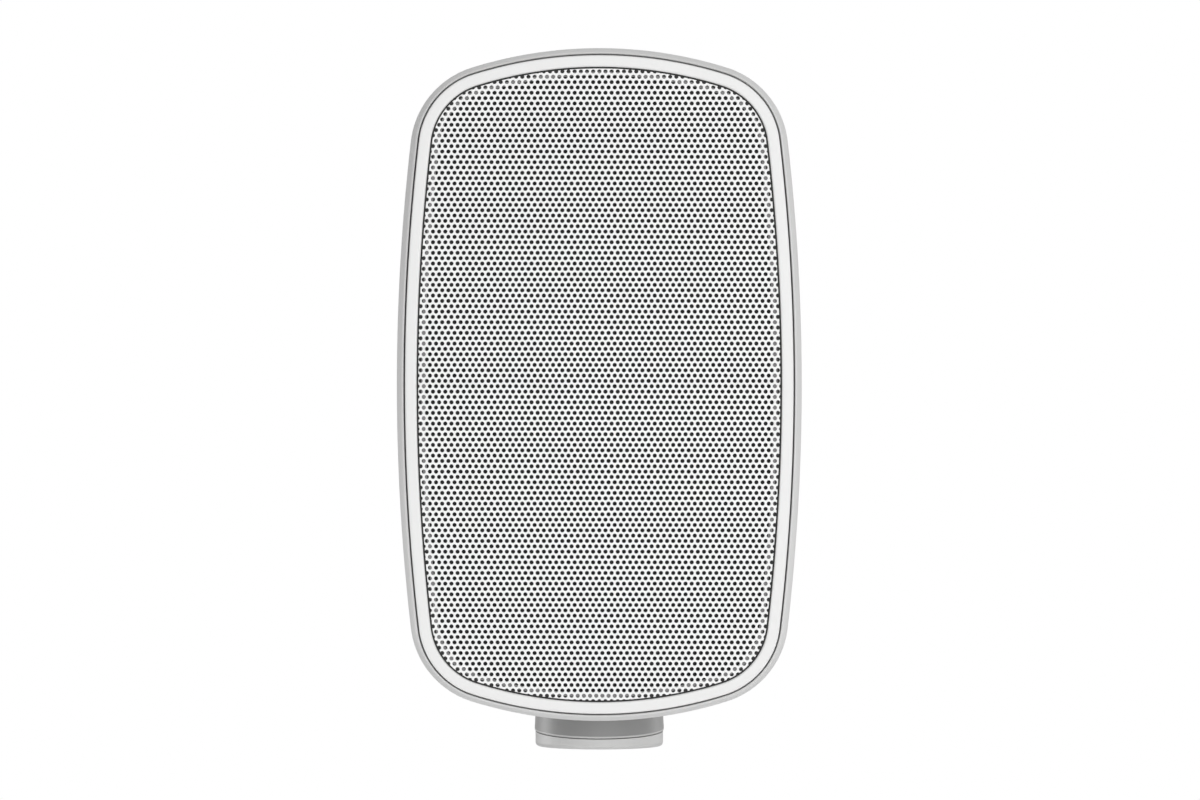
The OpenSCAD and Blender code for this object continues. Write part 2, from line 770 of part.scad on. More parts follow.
// Domed cap over the voice coil
cap_seat = 0.88;
cap_rise = 6;
cap_t = 0.6;
cap_glue = 0.1;
module woofer_dust_cap() {
  seat = cone_front(cap_seat);
  ball_r = (seat.x ^ 2 + cap_rise ^ 2) / (2 * cap_rise);
  reach = asin(seat.x / ball_r);
  steps = 8;
  color("#191919") at_woofer(seat.y - cap_t - cap_glue) rotate_extrude() polygon(concat(
    [for (k = [0:steps])
      let (t = reach * k / steps)
      [ball_r * sin(t), ball_r * (cos(reach) - cos(t))]],
    [for (k = [steps:-1:0])
      let (t = reach * k / steps)
      [(ball_r - cap_t) * sin(t), ball_r * cos(reach) - (ball_r - cap_t) * cos(t)]]
  ));
}

// Paper tube from the cone's neck into the magnet's gap
former_top = clear + cone_h;
coil_mid = top_plate_d + plate_t / 2;
coil_l = plate_t + 2 * woofer_travel;
module woofer_coil_former() {
  color("#b59a6a") at_woofer(former_top)
    tube(former_r, former_r - former_t, coil_mid + coil_l / 2 - former_top);
}

// Copper winding round the paper tube, longer than the steel ring by the cone's travel either way
module woofer_voice_coil() {
  color("#b5662e") at_woofer(coil_mid - coil_l / 2) tube(coil_out_r, former_r + e, coil_l);
}

// Corrugated cloth disc that centres the voice coil, flat at its rim
spider_t = 0.5;
spider_waves = 4;
spider_wave_h = 1.2;
spider_flat = 0.88;
spider_glue = 0.2;
spider_edge = 2.5;
module woofer_spider() {
  steps = 36;
  in_r = former_r + spider_glue;
  out_r = spider_land_r - spider_edge;
  wave = [
    for (k = [0:steps])
      let (s = k / steps)
      let (rise = s < spider_flat ? spider_wave_h * sin(360 * spider_waves * s / spider_flat) : 0)
      [in_r + (out_r - in_r) * s, spider_d + rise]
  ];
  color("#a8894c") at_woofer(0) rotate_extrude() polygon(concat(
    wave, [for (k = [steps:-1:0]) wave[k] + [0, spider_t]]
  ));
}

// Motor: a steel ring, the magnet behind it, and the yoke with its pole
steel_step = 3;
magnet_room = 5;
pole_rise = 1;
module woofer_top_plate() {
  color("#9a9a9a") at_woofer(top_plate_d) tube(magnet_r - steel_step, coil_out_r + coil_gap, plate_t);
}

module woofer_magnet() {
  color("#2e2e30") at_woofer(magnet_d) tube(magnet_r, coil_out_r + magnet_room, magnet_t);
}

module woofer_yoke() {
  pole_r = former_r - former_t - coil_gap;
  color("#8f8f8f") at_woofer(0) union() {
    translate([0, 0, yoke_d]) cylinder(r = magnet_r - steel_step, h = plate_t);
    translate([0, 0, top_plate_d - pole_rise])
      cylinder(r = pole_r, h = yoke_d - top_plate_d + pole_rise + lap);
  }
}

// Solder strip on the rim where the spider is glued
strip_w = 16;
strip_t = 2;
strip_h = 11;
strip_lift = 3;
strip_glue = 0.1;
tag_l = 6;
tag_w = 3;
tag_t = 0.8;
tag_x = 4.5;
module woofer_terminals() {
  strip_y = -spider_land_r - strip_t - strip_glue;
  color("#7a5a32") at_woofer(spider_d - strip_lift) {
    translate([-strip_w / 2, strip_y, 0]) cube([strip_w, strip_t, strip_h]);
    for (s = [-1, 1]) {
      translate([s * tag_x - tag_w / 2, strip_y - tag_l, strip_lift]) cube([tag_w, tag_l + e, tag_t]);
    }
  }
}

// Tweeter. Places are measured from its axis and from the baffle's front face.
module at_tweeter(d) {
  from_front(0, tweeter_z, baffle_d + d) children();
}
dome_t = 0.4;
dome_lip_w = 2.4;
mouth_gap = 0.6;
tweeter_mouth_r = dome_r + dome_lip_w + mouth_gap;
tweeter_back_d = tweeter_sink;
tweeter_coil_t = 0.5;
tweeter_coil_l = 5;
tweeter_gap = 0.4;
dome_clamp_t = 0.4;
dome_clamp_w = 3;
coil_step = 0.1;
tweeter_coil_r = dome_r - coil_step;
tweeter_steel_d = tweeter_back_d + dome_clamp_t;
tweeter_magnet_d = tweeter_steel_d + tweeter_steel_t;
tweeter_yoke_d = tweeter_magnet_d + tweeter_magnet_t;

// Moulded faceplate with a shallow horn round the dome
horn_margin = 5;
mouth_t = 1;
plate_edge = 0.4;
module tweeter_faceplate() {
  front_d = tweeter_sink - tweeter_plate_t;
  horn_r = tweeter_screw_ring - horn_margin;
  horn_d = tweeter_back_d - mouth_t - front_d;
  steps = 6;
  color("#1b1b1b") at_tweeter(0) difference() {
    rotate_extrude() polygon(concat(
      [[tweeter_mouth_r, tweeter_back_d], [tweeter_r, tweeter_back_d],
        [tweeter_r, front_d + plate_edge], [tweeter_r - plate_edge, front_d]],
      [for (k = [0:steps])
        let (s = k / steps)
        [horn_r + (tweeter_mouth_r - horn_r) * s, front_d + horn_d * s ^ 2]]
    ));
    for (p = tweeter_screw_places) {
      translate([p.x, p.y, front_d - lap])
        cylinder(r = tweeter_screw_r + clear, h = tweeter_plate_t + 2 * lap);
    }
  }
}

// Screws through the faceplate into the baffle
tweeter_screw_l = 10;
tweeter_head_r = 2.8;
tweeter_head_h = 1.6;
module tweeter_screws() {
  color("#3a3a3a") for (p = tweeter_screw_places) {
    at_tweeter(tweeter_sink - tweeter_plate_t) translate([p.x, p.y, 0])
      screw(tweeter_screw_r, tweeter_screw_l, tweeter_head_r, tweeter_head_h);
  }
}

// Soft edge of the dome, clamped behind the faceplate
dome_roll_t = 0.28;
module tweeter_surround() {
  steps = 6;
  roll = dome_lip_w / 2;
  roll_in = roll - dome_roll_t;
  mid = dome_r + coil_step + roll;
  flat_d = tweeter_back_d + dome_clamp_t;
  clamp_r = tweeter_mouth_r + dome_clamp_w;
  color("#2a2a2a") at_tweeter(0) rotate_extrude() polygon(concat(
    [[clamp_r, flat_d - e], [clamp_r, tweeter_back_d + e], [mid + roll, tweeter_back_d + e]],
    [for (k = [0:steps])
      let (t = 180 * k / steps)
      [mid + roll * cos(t), tweeter_back_d + e - roll * sin(t)]],
    [for (k = [steps:-1:0])
      let (t = 180 * k / steps)
      [mid + roll_in * cos(t), flat_d - e - roll_in * sin(t)]]
  ));
}

// Silk dome
module tweeter_dome() {
  ball_r = (dome_r ^ 2 + dome_h ^ 2) / (2 * dome_h);
  reach = asin(dome_r / ball_r);
  steps = 8;
  color("#202020") at_tweeter(tweeter_back_d) rotate_extrude() polygon(concat(
    [for (k = [0:steps])
      let (t = reach * k / steps)
      [ball_r * sin(t), ball_r * (cos(reach) - cos(t))]],
    [for (k = [steps:-1:0])
      let (t = reach * k / steps)
      [(ball_r - dome_t) * sin(t), ball_r * cos(reach) - (ball_r - dome_t) * cos(t)]]
  ));
}

// Copper winding under the dome's edge
module tweeter_voice_coil() {
  color("#b5662e") at_tweeter(tweeter_back_d + dome_t)
    tube(tweeter_coil_r, tweeter_coil_r - tweeter_coil_t, tweeter_coil_l);
}

// Motor of the tweeter: a steel ring, the magnet and the yoke with its pole
tweeter_yoke_step = 2;
tweeter_pole_drop = 1;
module tweeter_top_plate() {
  color("#9a9a9a") at_tweeter(tweeter_steel_d)
    tube(tweeter_magnet_r, tweeter_coil_r + tweeter_gap, tweeter_steel_t);
}

module tweeter_magnet() {
  color("#2e2e30") at_tweeter(tweeter_magnet_d)
    tube(tweeter_magnet_r, dome_r + magnet_room, tweeter_magnet_t);
}

module tweeter_yoke() {
  pole_r = tweeter_coil_r - tweeter_coil_t - tweeter_gap;
  pole_d = tweeter_steel_d + tweeter_pole_drop;
  color("#8f8f8f") at_tweeter(0) union() {
    translate([0, 0, tweeter_yoke_d])
      cylinder(r = tweeter_magnet_r - tweeter_yoke_step, h = tweeter_steel_t);
    translate([0, 0, pole_d]) cylinder(r = pole_r, h = tweeter_yoke_d - pole_d + lap);
  }
}

// Solder strip across the back of the tweeter
back_strip_h = 8;
module tweeter_terminals() {
  color("#7a5a32") at_tweeter(tweeter_yoke_d + tweeter_steel_t) {
    translate([-strip_w / 2, -back_strip_h / 2, 0]) cube([strip_w, back_strip_h, strip_t]);
    for (s = [-1, 1]) {
      translate([s * tag_x - tag_w / 2, -tag_t / 2, strip_t - e]) cube([tag_w, tag_t, tag_l]);
    }
  }
}

// Crossover. Its board stands on spacers inside the cabinet's back.
board_back_d = inner_back_d - spacer_l;
board_front_d = board_back_d - board_t;
spacer_r = 3;
board_bite = 2.4;
board_screw_l = board_t + spacer_l + board_bite;
board_head_r = 2.4;
board_head_h = 1.6;

// Puts a piece at a place on the board's front face, with its own +Z pointing forwards
module on_board(x, z) {
  translate([x, front_y + board_front_d, cab_z + board_z + z]) rotate([90, 0, 0]) children();
}

// Circuit board with a screw hole in each corner
module crossover_board() {
  color("#3f5a34") difference() {
    from_front(0, board_z, board_front_d) linear_extrude(height = board_t)
      square([board_w, board_h], center = true);
    for (p = board_screw_places) {
      from_front(p.x, board_z + p.y, board_front_d - lap)
        cylinder(r = board_screw_r + clear, h = board_t + 2 * lap);
    }
  }
}

// Spacers and screws between the board and the cabinet's back
module board_spacers() {
  color("#d8d8d0") for (p = board_screw_places) {
    from_front(p.x, board_z + p.y, board_back_d) tube(spacer_r, board_screw_r + clear, spacer_l);
  }
}

module board_screws() {
  color("#a8a8a8") for (p = board_screw_places) {
    from_front(p.x, board_z + p.y, board_front_d)
      screw(board_screw_r, board_screw_l, board_head_r, board_head_h);
  }
}

// Wound coil with no core, for the tweeter. Places on the board are measured from its edges.
coil_from_side = 20;
air_from_top = 20;
air_out_r = 12;
air_in_r = 6;
air_l = 11;
module air_core_coil() {
  color("#b06a34") on_board(coil_from_side - board_w / 2, board_h / 2 - air_from_top)
    tube(air_out_r, air_in_r, air_l);
}

// Wound coil on a bobbin with an iron core, for the woofer
iron_from_top = 22;
bobbin_r = 13;
bobbin_t = 1.5;
bobbin_l = 18;
iron_coil_r = 11.5;
iron_core_r = 4;
iron_core_l = 21;
module iron_core_coil() {
  color("#7c4d2a") on_board(board_w / 2 - coil_from_side, board_h / 2 - iron_from_top) union() {
    cylinder(r = bobbin_r, h = bobbin_t);
    cylinder(r = iron_coil_r, h = bobbin_l);
    translate([0, 0, bobbin_l - bobbin_t]) cylinder(r = bobbin_r, h = bobbin_t);
    cylinder(r = iron_core_r, h = iron_core_l);
  }
}

// Two capacitors that lie side by side
film_from_side = 23;
film_from_foot = 9;
film_pitch = 12;
film_r = 5.2;
film_l = 22;
module film_capacitors() {
  color("#c9b23a") for (k = [0, 1]) {
    on_board(film_from_side - board_w / 2, film_from_foot + k * film_pitch - board_h / 2)
      translate([0, 0, film_r]) rotate([0, 90, 0]) cylinder(r = film_r, h = film_l, center = true);
  }
}

// Two ceramic resistors that lie side by side
cement_from_side = 22;
cement_from_foot = 8;
cement_pitch = 8;
cement_l = 20;
cement_w = 6;
cement_h = 8;
module cement_resistors() {
  color("#e6e2d8") for (k = [0, 1]) {
    on_board(board_w / 2 - cement_from_side, cement_from_foot + k * cement_pitch - board_h / 2)
      translate([-cement_l / 2, -cement_w / 2, 0]) cube([cement_l, cement_w, cement_h]);
  }
}

// Plug block at the board's top edge, where the three leads start
connector_from_top = 5;
connector_w = 22;
connector_t = 8;
connector_h = 9;
module board_connector() {
  color("#efefe6") on_board(0, board_h / 2 - connector_from_top)
    translate([-connector_w / 2, -connector_t / 2, 0]) cube([connector_w, connector_t, connector_h]);
}

// Twin leads inside the cabinet, drawn as one round bundle each
lead_r = 1.5;
lead_start_y = front_y + board_front_d - connector_h - lead_r;
lead_z = cab_z + board_z + board_h / 2 - connector_from_top;
woofer_tag = [0, front_y + baffle_d + spider_d + 6, cab_z + woofer_z + spider_land_r + strip_t + tag_l + 2];
tweeter_tag_d = baffle_d + tweeter_yoke_d + tweeter_steel_t + strip_t + tag_l + 0.2;
tweeter_tag = [0, front_y + tweeter_tag_d, cab_z + tweeter_z];
module woofer_leads() {
  color("#b02a2a") wire([
    [-7, lead_start_y + 1.2, lead_z], [-7, lead_start_y - 6, lead_z], [-8, lead_start_y - 16, lead_z - 2],
    [-7, lead_start_y - 40, lead_z - 14], [-4, woofer_tag.y + 34, lead_z - 26],
    [0, woofer_tag.y + 12, lead_z - 30],
    [0, woofer_tag.y + 1, woofer_tag.z + 4],
    [0, woofer_tag.y, woofer_tag.z]
  ], lead_r);
}

module tweeter_leads() {
  color("#1c1c1c") wire([
    [7, lead_start_y + 1.2, lead_z], [7, lead_start_y - 6, lead_z], [8, lead_start_y - 18, lead_z + 10],
    [7, lead_start_y - 46, lead_z + 30], [3, tweeter_tag.y + 22, tweeter_tag.z - 8],
    [0, tweeter_tag.y + 9, tweeter_tag.z], [0, tweeter_tag.y, tweeter_tag.z]
  ], lead_r);
}

// Damping mat against the back, above the crossover
wadding_w = 96;
wadding_h = 52;
wadding_t = 22;
wadding_gap = 9;
module damping_wadding() {
  z = board_z + board_h / 2 + wadding_gap + wadding_h / 2;
  color("#d9d6cc") from_front(0, z, inner_back_d - wadding_t - clear)
    linear_extrude(height = wadding_t) square([wadding_w, wadding_h], center = true);
}

// Terminal cup in the cabinet's back, with its screw block, cover and cable gland
cup_wall = 2;
cup_floor_d = cab_d - cup_d;
cover_t = 2.5;
cover_side = 3;
cover_end = 2;
cover_w = cup_w + 2 * cover_side;
cover_h = cup_h + 2 * cover_end;
cover_screw_r = 1.4;
cover_screw_l = 10;
cover_post_r = 3;
cover_screw_x = cup_w / 2 - cup_wall - cover_post_r;
cup_flange_round = 4;
cover_round = 3;
cup_screw_l = 8;
back_head_r = 2.6;
back_head_h = 1.6;

// A plate with rounded corners, centred on the local Z axis
module rounded_plate(w, h, r, t) {
  linear_extrude(height = t) union() {
    square([w - 2 * r, h], center = true);
    square([w, h - 2 * r], center = true);
    for (x = [-1, 1], y = [-1, 1]) {
      translate([x * (w / 2 - r), y * (h / 2 - r)]) circle(r = r);
    }
  }
}

// The cup itself, with its flange outside the back and a post for each cover screw
module terminal_cup() {
  color("#2a2a2a") difference() {
    union() {
      from_front(0, cup_z, cab_d) rounded_plate(cup_flange_w, cup_flange_h, cup_flange_round, cup_flange_t);
      from_front(0, cup_z, cup_floor_d)
        linear_extrude(height = cup_d + lap) square([cup_w - 2 * clear, cup_h - 2 * clear], center = true);
    }
    difference() {
      from_front(0, cup_z, cup_floor_d + cup_wall) linear_extrude(height = cup_d + cup_flange_t)
        square([cup_w - 2 * clear - 2 * cup_wall, cup_h - 2 * clear - 2 * cup_wall], center = true);
      for (s = [-1, 1]) {
        from_front(s * cover_screw_x, cup_z, cup_floor_d)
          cylinder(r = cover_post_r, h = cup_d + cup_flange_t);
      }
    }
    for (s = [-1, 1]) {
      from_front(s * cover_screw_x, cup_z, cab_d + cup_flange_t - cover_screw_l)
        cylinder(r = cover_screw_r + thread_gap, h = cover_screw_l + lap);
    }
    for (p = cup_screw_places) {
      from_front(p.x, cup_z + p.y, cab_d - lap)
        cylinder(r = cup_screw_r + clear, h = cup_flange_t + 2 * lap);
    }
  }
}

// Screws that hold the cup in the cabinet's back
module cup_screws() {
  color("#9c9c9c") for (p = cup_screw_places) {
    from_front(p.x, cup_z + p.y, cab_d + cup_flange_t) mirror([0, 0, 1])
      screw(cup_screw_r, cup_screw_l, back_head_r, back_head_h);
  }
}

// Screw block with two sunk clamp screws
block_w = 20;
block_h = 10;
block_t = 9;
block_z = 6;
clamp_r = 1.8;
clamp_gap = 0.1;
clamp_floor = 2;
clamp_sink = 1;
clamp_d = cup_floor_d + cup_wall + clamp_floor;
module terminal_block() {
  color("#4c6f4a") difference() {
    from_front(0, cup_z + block_z, cup_floor_d + cup_wall) linear_extrude(height = block_t)
      square([block_w, block_h], center = true);
    for (s = [-1, 1]) {
      from_front(s * block_w / 4, cup_z + block_z, clamp_d) cylinder(r = clamp_r + clamp_gap, h = block_t);
    }
  }
}

module terminal_screws() {
  color("#c8a75a") for (s = [-1, 1]) {
    from_front(s * block_w / 4, cup_z + block_z, clamp_d)
      cylinder(r = clamp_r, h = block_t - clamp_floor - clamp_sink);
  }
}

// Cover over the cup, with a hole for the cable gland
gland_z = -5;
gland_r = 6.5;
gland_lip = 1.5;
gland_edge = 0.4;
gland_out_l = 5;
gland_collar = 2;
gland_collar_r = 7;
gland_nose = 1.6;
module terminal_cover() {
  color("#d6d6d4") difference() {
    from_front(0, cup_z, cab_d + cup_flange_t) rounded_plate(cover_w, cover_h, cover_round, cover_t);
    for (s = [-1, 1]) {
      from_front(s * cover_screw_x, cup_z, cab_d) cylinder(r = cover_screw_r + clear, h = cover_screw_l);
    }
    from_front(0, cup_z + gland_z, cab_d) cylinder(r = gland_r, h = cup_flange_t + cover_t + lap);
  }
}

// Screws that hold the cover on the cup's posts
module cover_screws() {
  color("#9c9c9c") for (s = [-1, 1]) {
    from_front(s * cover_screw_x, cup_z, cab_d + cup_flange_t + cover_t) mirror([0, 0, 1])
      screw(cover_screw_r, cover_screw_l, back_head_r, back_head_h);
  }
}

// Rubber gland with a waist that snaps into the cover
module cable_gland() {
  in_d = cab_d + cup_flange_t - gland_lip;
  out_d = cab_d + cup_flange_t + cover_t;
  color("#2c2c2c") from_front(0, cup_z + gland_z, in_d) rotate_extrude() polygon([
    [cable_r, 0], [gland_r + gland_lip - gland_edge, 0], [gland_r + gland_lip, gland_lip - e],
    [gland_r - thread_gap, gland_lip - e], [gland_r - thread_gap, out_d - in_d + e],
    [gland_r + gland_lip, out_d - in_d + e], [gland_collar_r, out_d - in_d + gland_collar],
    [cable_r + gland_nose, out_d - in_d + gland_out_l], [cable_r, out_d - in_d + gland_out_l]
  ]);
}

// Lead from the plug block to the back of the screw block
module input_leads() {
  path_y = front_y + cup_floor_d;
  color("#8a8a8a") wire([
    [0, lead_start_y + 1.2, lead_z], [0, lead_start_y - 4, lead_z], [8, lead_start_y - 12, lead_z - 4],
    [30, lead_start_y - 15, lead_z - 12], [44, lead_start_y - 12, lead_z - 34],
    [40, path_y - 20, cab_z - 40], [14, path_y - 14, cab_z + cup_z + 12],
    [0, path_y - 6, cab_z + cup_z + block_z], [0, path_y - 0.3, cab_z + cup_z + block_z]
  ], lead_r);
}

// Brass threaded insert for a safety line
module safety_insert() {
  color("#c2a25a") from_front(0, insert_z, inner_back_d - insert_l + insert_sink)
    tube(insert_r - insert_press, insert_thread_r, insert_l + wall_t - insert_sink);
}

// Steel plate inside the cabinet's underside, which the swivel bolt threads into
mount_plate_w = 58;
mount_plate_d = 56;
mount_plate_t = 3;
module mount_plate() {
  color("#a0a0a0") translate([0, -pan_off, boss_top_z]) difference() {
    translate([-mount_plate_w / 2, -mount_plate_d / 2, 0])
      cube([mount_plate_w, mount_plate_d, mount_plate_t]);
    for (p = mount_screw_places) {
      translate([p.x, p.y, -lap]) cylinder(r = mount_screw_r + clear, h = mount_plate_t + 2 * lap);
    }
    translate([0, 0, -lap]) cylinder(r = pan_bolt_r + thread_gap, h = mount_plate_t + 2 * lap);
  }
}

// Screws from the steel plate down through the boss into the drum
mount_bite = 7;
mount_head_r = 4.5;
mount_head_h = 2.6;
mount_screw_l = boss_top_z + mount_plate_t - drum_top_z + mount_bite;
module mount_screws() {
  color("#8c8c8c") for (p = mount_screw_places) {
    translate([p.x, -pan_off + p.y, boss_top_z + mount_plate_t]) mirror([0, 0, 1])
      screw(mount_screw_r, mount_screw_l, mount_head_r, mount_head_h);
  }
}

// Swivel drum. A turned foot with a bevelled lower edge, screwed under the cabinet.
drum_bevel = 1;
drum_floor = 3;
friction_out_r = 26;
friction_in_r = 12;
friction_sink = 1;
drum_foot_z = -arm_drop + seam_gap;
module swivel_drum() {
  color("#d4d4d2") translate([0, -pan_off, drum_foot_z]) difference() {
    rotate_extrude() polygon([
      [pan_bolt_r + clear, 0], [drum_r - drum_bevel, 0], [drum_r, drum_bevel],
      [drum_r - drum_taper, drum_h], [pan_bolt_r + clear, drum_h]
    ]);
    translate([0, 0, -lap]) tube(friction_out_r, friction_in_r, friction_sink + lap);
    for (p = mount_screw_places) {
      translate([p.x, p.y, drum_floor]) cylinder(r = mount_screw_r + thread_gap, h = drum_h);
    }
  }
}

// Friction ring in the drum's groove, which slides on the arm's flat top
slip = 0.1;
module friction_ring() {
  color("#333333") translate([0, -pan_off, -arm_drop + slip])
    tube(friction_out_r - clear, friction_in_r + clear, seam_gap + friction_sink - slip);
}

// Swivel bolt, from under the arm up into the steel plate
pan_seat_t = 4;
pan_washer_t = 1.2;
pan_washer_r = 9.5;
pan_head_r = 6.5;
pan_head_h = 3;
seat_gap = 0.2;
hex_r = 2.9;
hex_d = 1.8;
pan_head_z = -arm_drop - pan_seat_t - pan_washer_t - seat_gap;
module swivel_bolt() {
  color("#9a9a9a") translate([0, -pan_off, pan_head_z]) union() {
    cylinder(r = pan_bolt_r, h = boss_top_z + mount_plate_t - pan_head_z);
    difference() {
      translate([0, 0, -pan_head_h]) cylinder(r = pan_head_r, h = pan_head_h);
      translate([0, 0, -pan_head_h - lap]) cylinder(r = hex_r, h = hex_d + lap, $fn = 6);
    }
  }
}

// Washer between the bolt's head and the arm
module swivel_washer() {
  color("#b4b4b4") translate([0, -pan_off, -arm_drop - pan_seat_t - pan_washer_t])
    tube(pan_washer_r, pan_bolt_r + clear, pan_washer_t);
}

// Bracket arm. One casting: a round end under the drum, a hollow bar and a knuckle.
arm_front_y = -pan_off - arm_r;
tilt_y = -tilt_off;
tilt_z = -arm_drop - knuckle_r;
shoulder_gap = 4;
shoulder_y = tilt_y - knuckle_r - shoulder_gap;
function arm_foot(y) = -arm_drop - arm_t - (y - arm_front_y) * tan(arm_slope);
arm_wall = 5;
arm_skin = 4;
pocket_rim = 12;
pocket_y = -pan_off + pan_washer_r + pocket_rim;
cut_l = 100;

// A wedge as wide as any piece, between the arm's flat top and its sloping underside
module arm_side(y0, y1) {
  rotate([90, 0, 90]) linear_extrude(height = cut_l, center = true) polygon([
    [y0, arm_foot(y0)], [y1, arm_foot(y1)], [y1, -arm_drop], [y0, -arm_drop]
  ]);
}

module bracket_arm() {
  color("#d8d8d6") difference() {
    union() {
      intersection() {
        arm_side(arm_front_y - lap, shoulder_y);
        translate([0, 0, -arm_drop - cut_l]) union() {
          translate([0, -pan_off, 0]) cylinder(r = arm_r, h = cut_l + lap);
          translate([-arm_r, -pan_off, 0]) cube([2 * arm_r, shoulder_y + pan_off, cut_l + lap]);
        }
      }
      intersection() {
        arm_side(shoulder_y - lap, tilt_y);
        translate([-knuckle_w / 2, shoulder_y - lap, -arm_drop - cut_l])
          cube([knuckle_w, tilt_y - shoulder_y + lap, cut_l + lap]);
      }
      translate([-knuckle_w / 2, tilt_y, tilt_z]) rotate([0, 90, 0]) cylinder(r = knuckle_r, h = knuckle_w);
    }
    for (s = [0, 1]) {
      mirror([s, 0, 0]) translate([arm_wall / 2, pocket_y, -arm_drop - arm_skin - cut_l])
        cube([arm_r - 1.5 * arm_wall, shoulder_y - arm_wall - pocket_y, cut_l]);
    }
    translate([0, -pan_off, -arm_drop - cut_l]) cylinder(r = pan_bolt_r + pivot_gap, h = cut_l + lap);
    translate([0, -pan_off, -arm_drop - pan_seat_t - cut_l])
      cylinder(r = pan_washer_r + clear, h = cut_l);
    translate([-knuckle_w, tilt_y, tilt_z]) rotate([0, 90, 0])
      cylinder(r = tilt_bolt_r + pivot_gap, h = 2 * knuckle_w);
  }
}

// Wall plate with two ears for the knuckle and four holes for the wall screws
ear_x = knuckle_w / 2 + clear;
plate_round = 6;
bolt_places = [for (x = [-1, 1], z = [-1, 1]) [x * bolt_dx / 2, z * bolt_dz / 2]];
module wall_plate() {
  color("#d8d8d6") difference() {
    union() {
      rotate([90, 0, 0]) rounded_plate(plate_w, plate_h, plate_round, wall_plate_t);
      for (s = [-1, 1]) {
        translate([s * (ear_x + ear_t / 2), tilt_y, tilt_z]) {
          rotate([0, 90, 0]) cylinder(r = knuckle_r, h = ear_t, center = true);
          translate([-ear_t / 2, 0, -knuckle_r]) cube([ear_t, tilt_off - lap, 2 * knuckle_r]);
        }
      }
    }
    for (p = bolt_places) {
      translate([p.x, lap, p.y]) rotate([90, 0, 0]) cylinder(r = bolt_hole_r, h = wall_plate_t + 2 * lap);
    }
    translate([-ear_x - ear_t - lap, tilt_y, tilt_z]) rotate([0, 90, 0])
      cylinder(r = tilt_bolt_r + thread_gap, h = 2 * (ear_x + ear_t + lap));
  }
}

// Tilt bolt through the ears and the knuckle, and its nut
tilt_head_r = 6.5;
tilt_head_h = 4;
tilt_hex_d = 2.5;
bolt_end = 1.5;
nut_r = 7.2;
nut_h = 5;
module tilt_bolt() {
  span = ear_x + ear_t;
  color("#9a9a9a") translate([-span, tilt_y, tilt_z]) rotate([0, 90, 0]) union() {
    cylinder(r = tilt_bolt_r, h = 2 * span + nut_h + bolt_end);
    difference() {
      translate([0, 0, -tilt_head_h]) cylinder(r = tilt_head_r, h = tilt_head_h);
      translate([0, 0, -tilt_head_h - lap]) cylinder(r = hex_r, h = tilt_hex_d + lap, $fn = 6);
    }
  }
}

module tilt_nut() {
  color("#9a9a9a") translate([ear_x + ear_t, tilt_y, tilt_z]) rotate([0, 90, 0]) difference() {
    cylinder(r = nut_r, h = nut_h, $fn = 6);
    translate([0, 0, -lap]) cylinder(r = tilt_bolt_r + thread_gap, h = nut_h + 2 * lap);
  }
}

cabinet_shell();
front_baffle();
baffle_seal();
baffle_screws();
grille_frame();
grille_sheet();
grille_cloth();
peg_cups();
woofer_basket();
woofer_gasket();
woofer_surround();
woofer_cone();
woofer_dust_cap();
woofer_coil_former();
woofer_voice_coil();
woofer_spider();
woofer_top_plate();
woofer_magnet();
woofer_yoke();
woofer_terminals();
woofer_screws();
tweeter_faceplate();
tweeter_surround();
tweeter_dome();
tweeter_voice_coil();
tweeter_top_plate();
tweeter_magnet();
tweeter_yoke();
tweeter_terminals();
tweeter_screws();
crossover_board();
board_spacers();
board_screws();
air_core_coil();
iron_core_coil();
film_capacitors();
cement_resistors();
board_connector();
woofer_leads();
tweeter_leads();
input_leads();
damping_wadding();
terminal_cup();
terminal_block();
terminal_screws();
cup_screws();
terminal_cover();
cover_screws();
cable_gland();
safety_insert();
mount_plate();
mount_screws();
swivel_drum();
swivel_bolt();
swivel_washer();
friction_ring();
bracket_arm();
wall_plate();
tilt_bolt();
tilt_nut();
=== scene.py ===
import json
import math

import bmesh
import bpy
import numpy as np
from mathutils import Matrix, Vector
from mathutils.geometry import delaunay_2d_cdt


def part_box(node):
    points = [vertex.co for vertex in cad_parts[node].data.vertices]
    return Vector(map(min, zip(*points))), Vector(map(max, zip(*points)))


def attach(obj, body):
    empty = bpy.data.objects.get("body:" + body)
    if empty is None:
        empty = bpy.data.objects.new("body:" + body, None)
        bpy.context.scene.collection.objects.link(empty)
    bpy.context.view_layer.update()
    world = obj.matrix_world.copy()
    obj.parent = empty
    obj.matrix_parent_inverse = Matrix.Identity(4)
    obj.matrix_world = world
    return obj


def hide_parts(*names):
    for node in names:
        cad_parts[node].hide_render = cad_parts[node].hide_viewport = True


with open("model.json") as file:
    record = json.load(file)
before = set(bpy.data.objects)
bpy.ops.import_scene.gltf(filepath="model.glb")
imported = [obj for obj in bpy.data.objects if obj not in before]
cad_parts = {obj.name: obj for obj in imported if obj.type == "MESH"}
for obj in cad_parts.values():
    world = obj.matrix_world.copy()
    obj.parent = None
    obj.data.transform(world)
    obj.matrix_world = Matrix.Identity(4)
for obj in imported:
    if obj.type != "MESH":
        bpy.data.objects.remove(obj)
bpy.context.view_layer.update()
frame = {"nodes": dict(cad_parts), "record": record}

# Camera, floor and light. The photo looks straight at the grille from 1.17 m, with the lens
# slightly shifted. Soft lights stand in front, at the right and behind, and three small ones light
# the foot. The floor lies well below the part.
FRONT_Y = -225.0
CAB_Z = 151.35
CAMERA_Y = -1.399

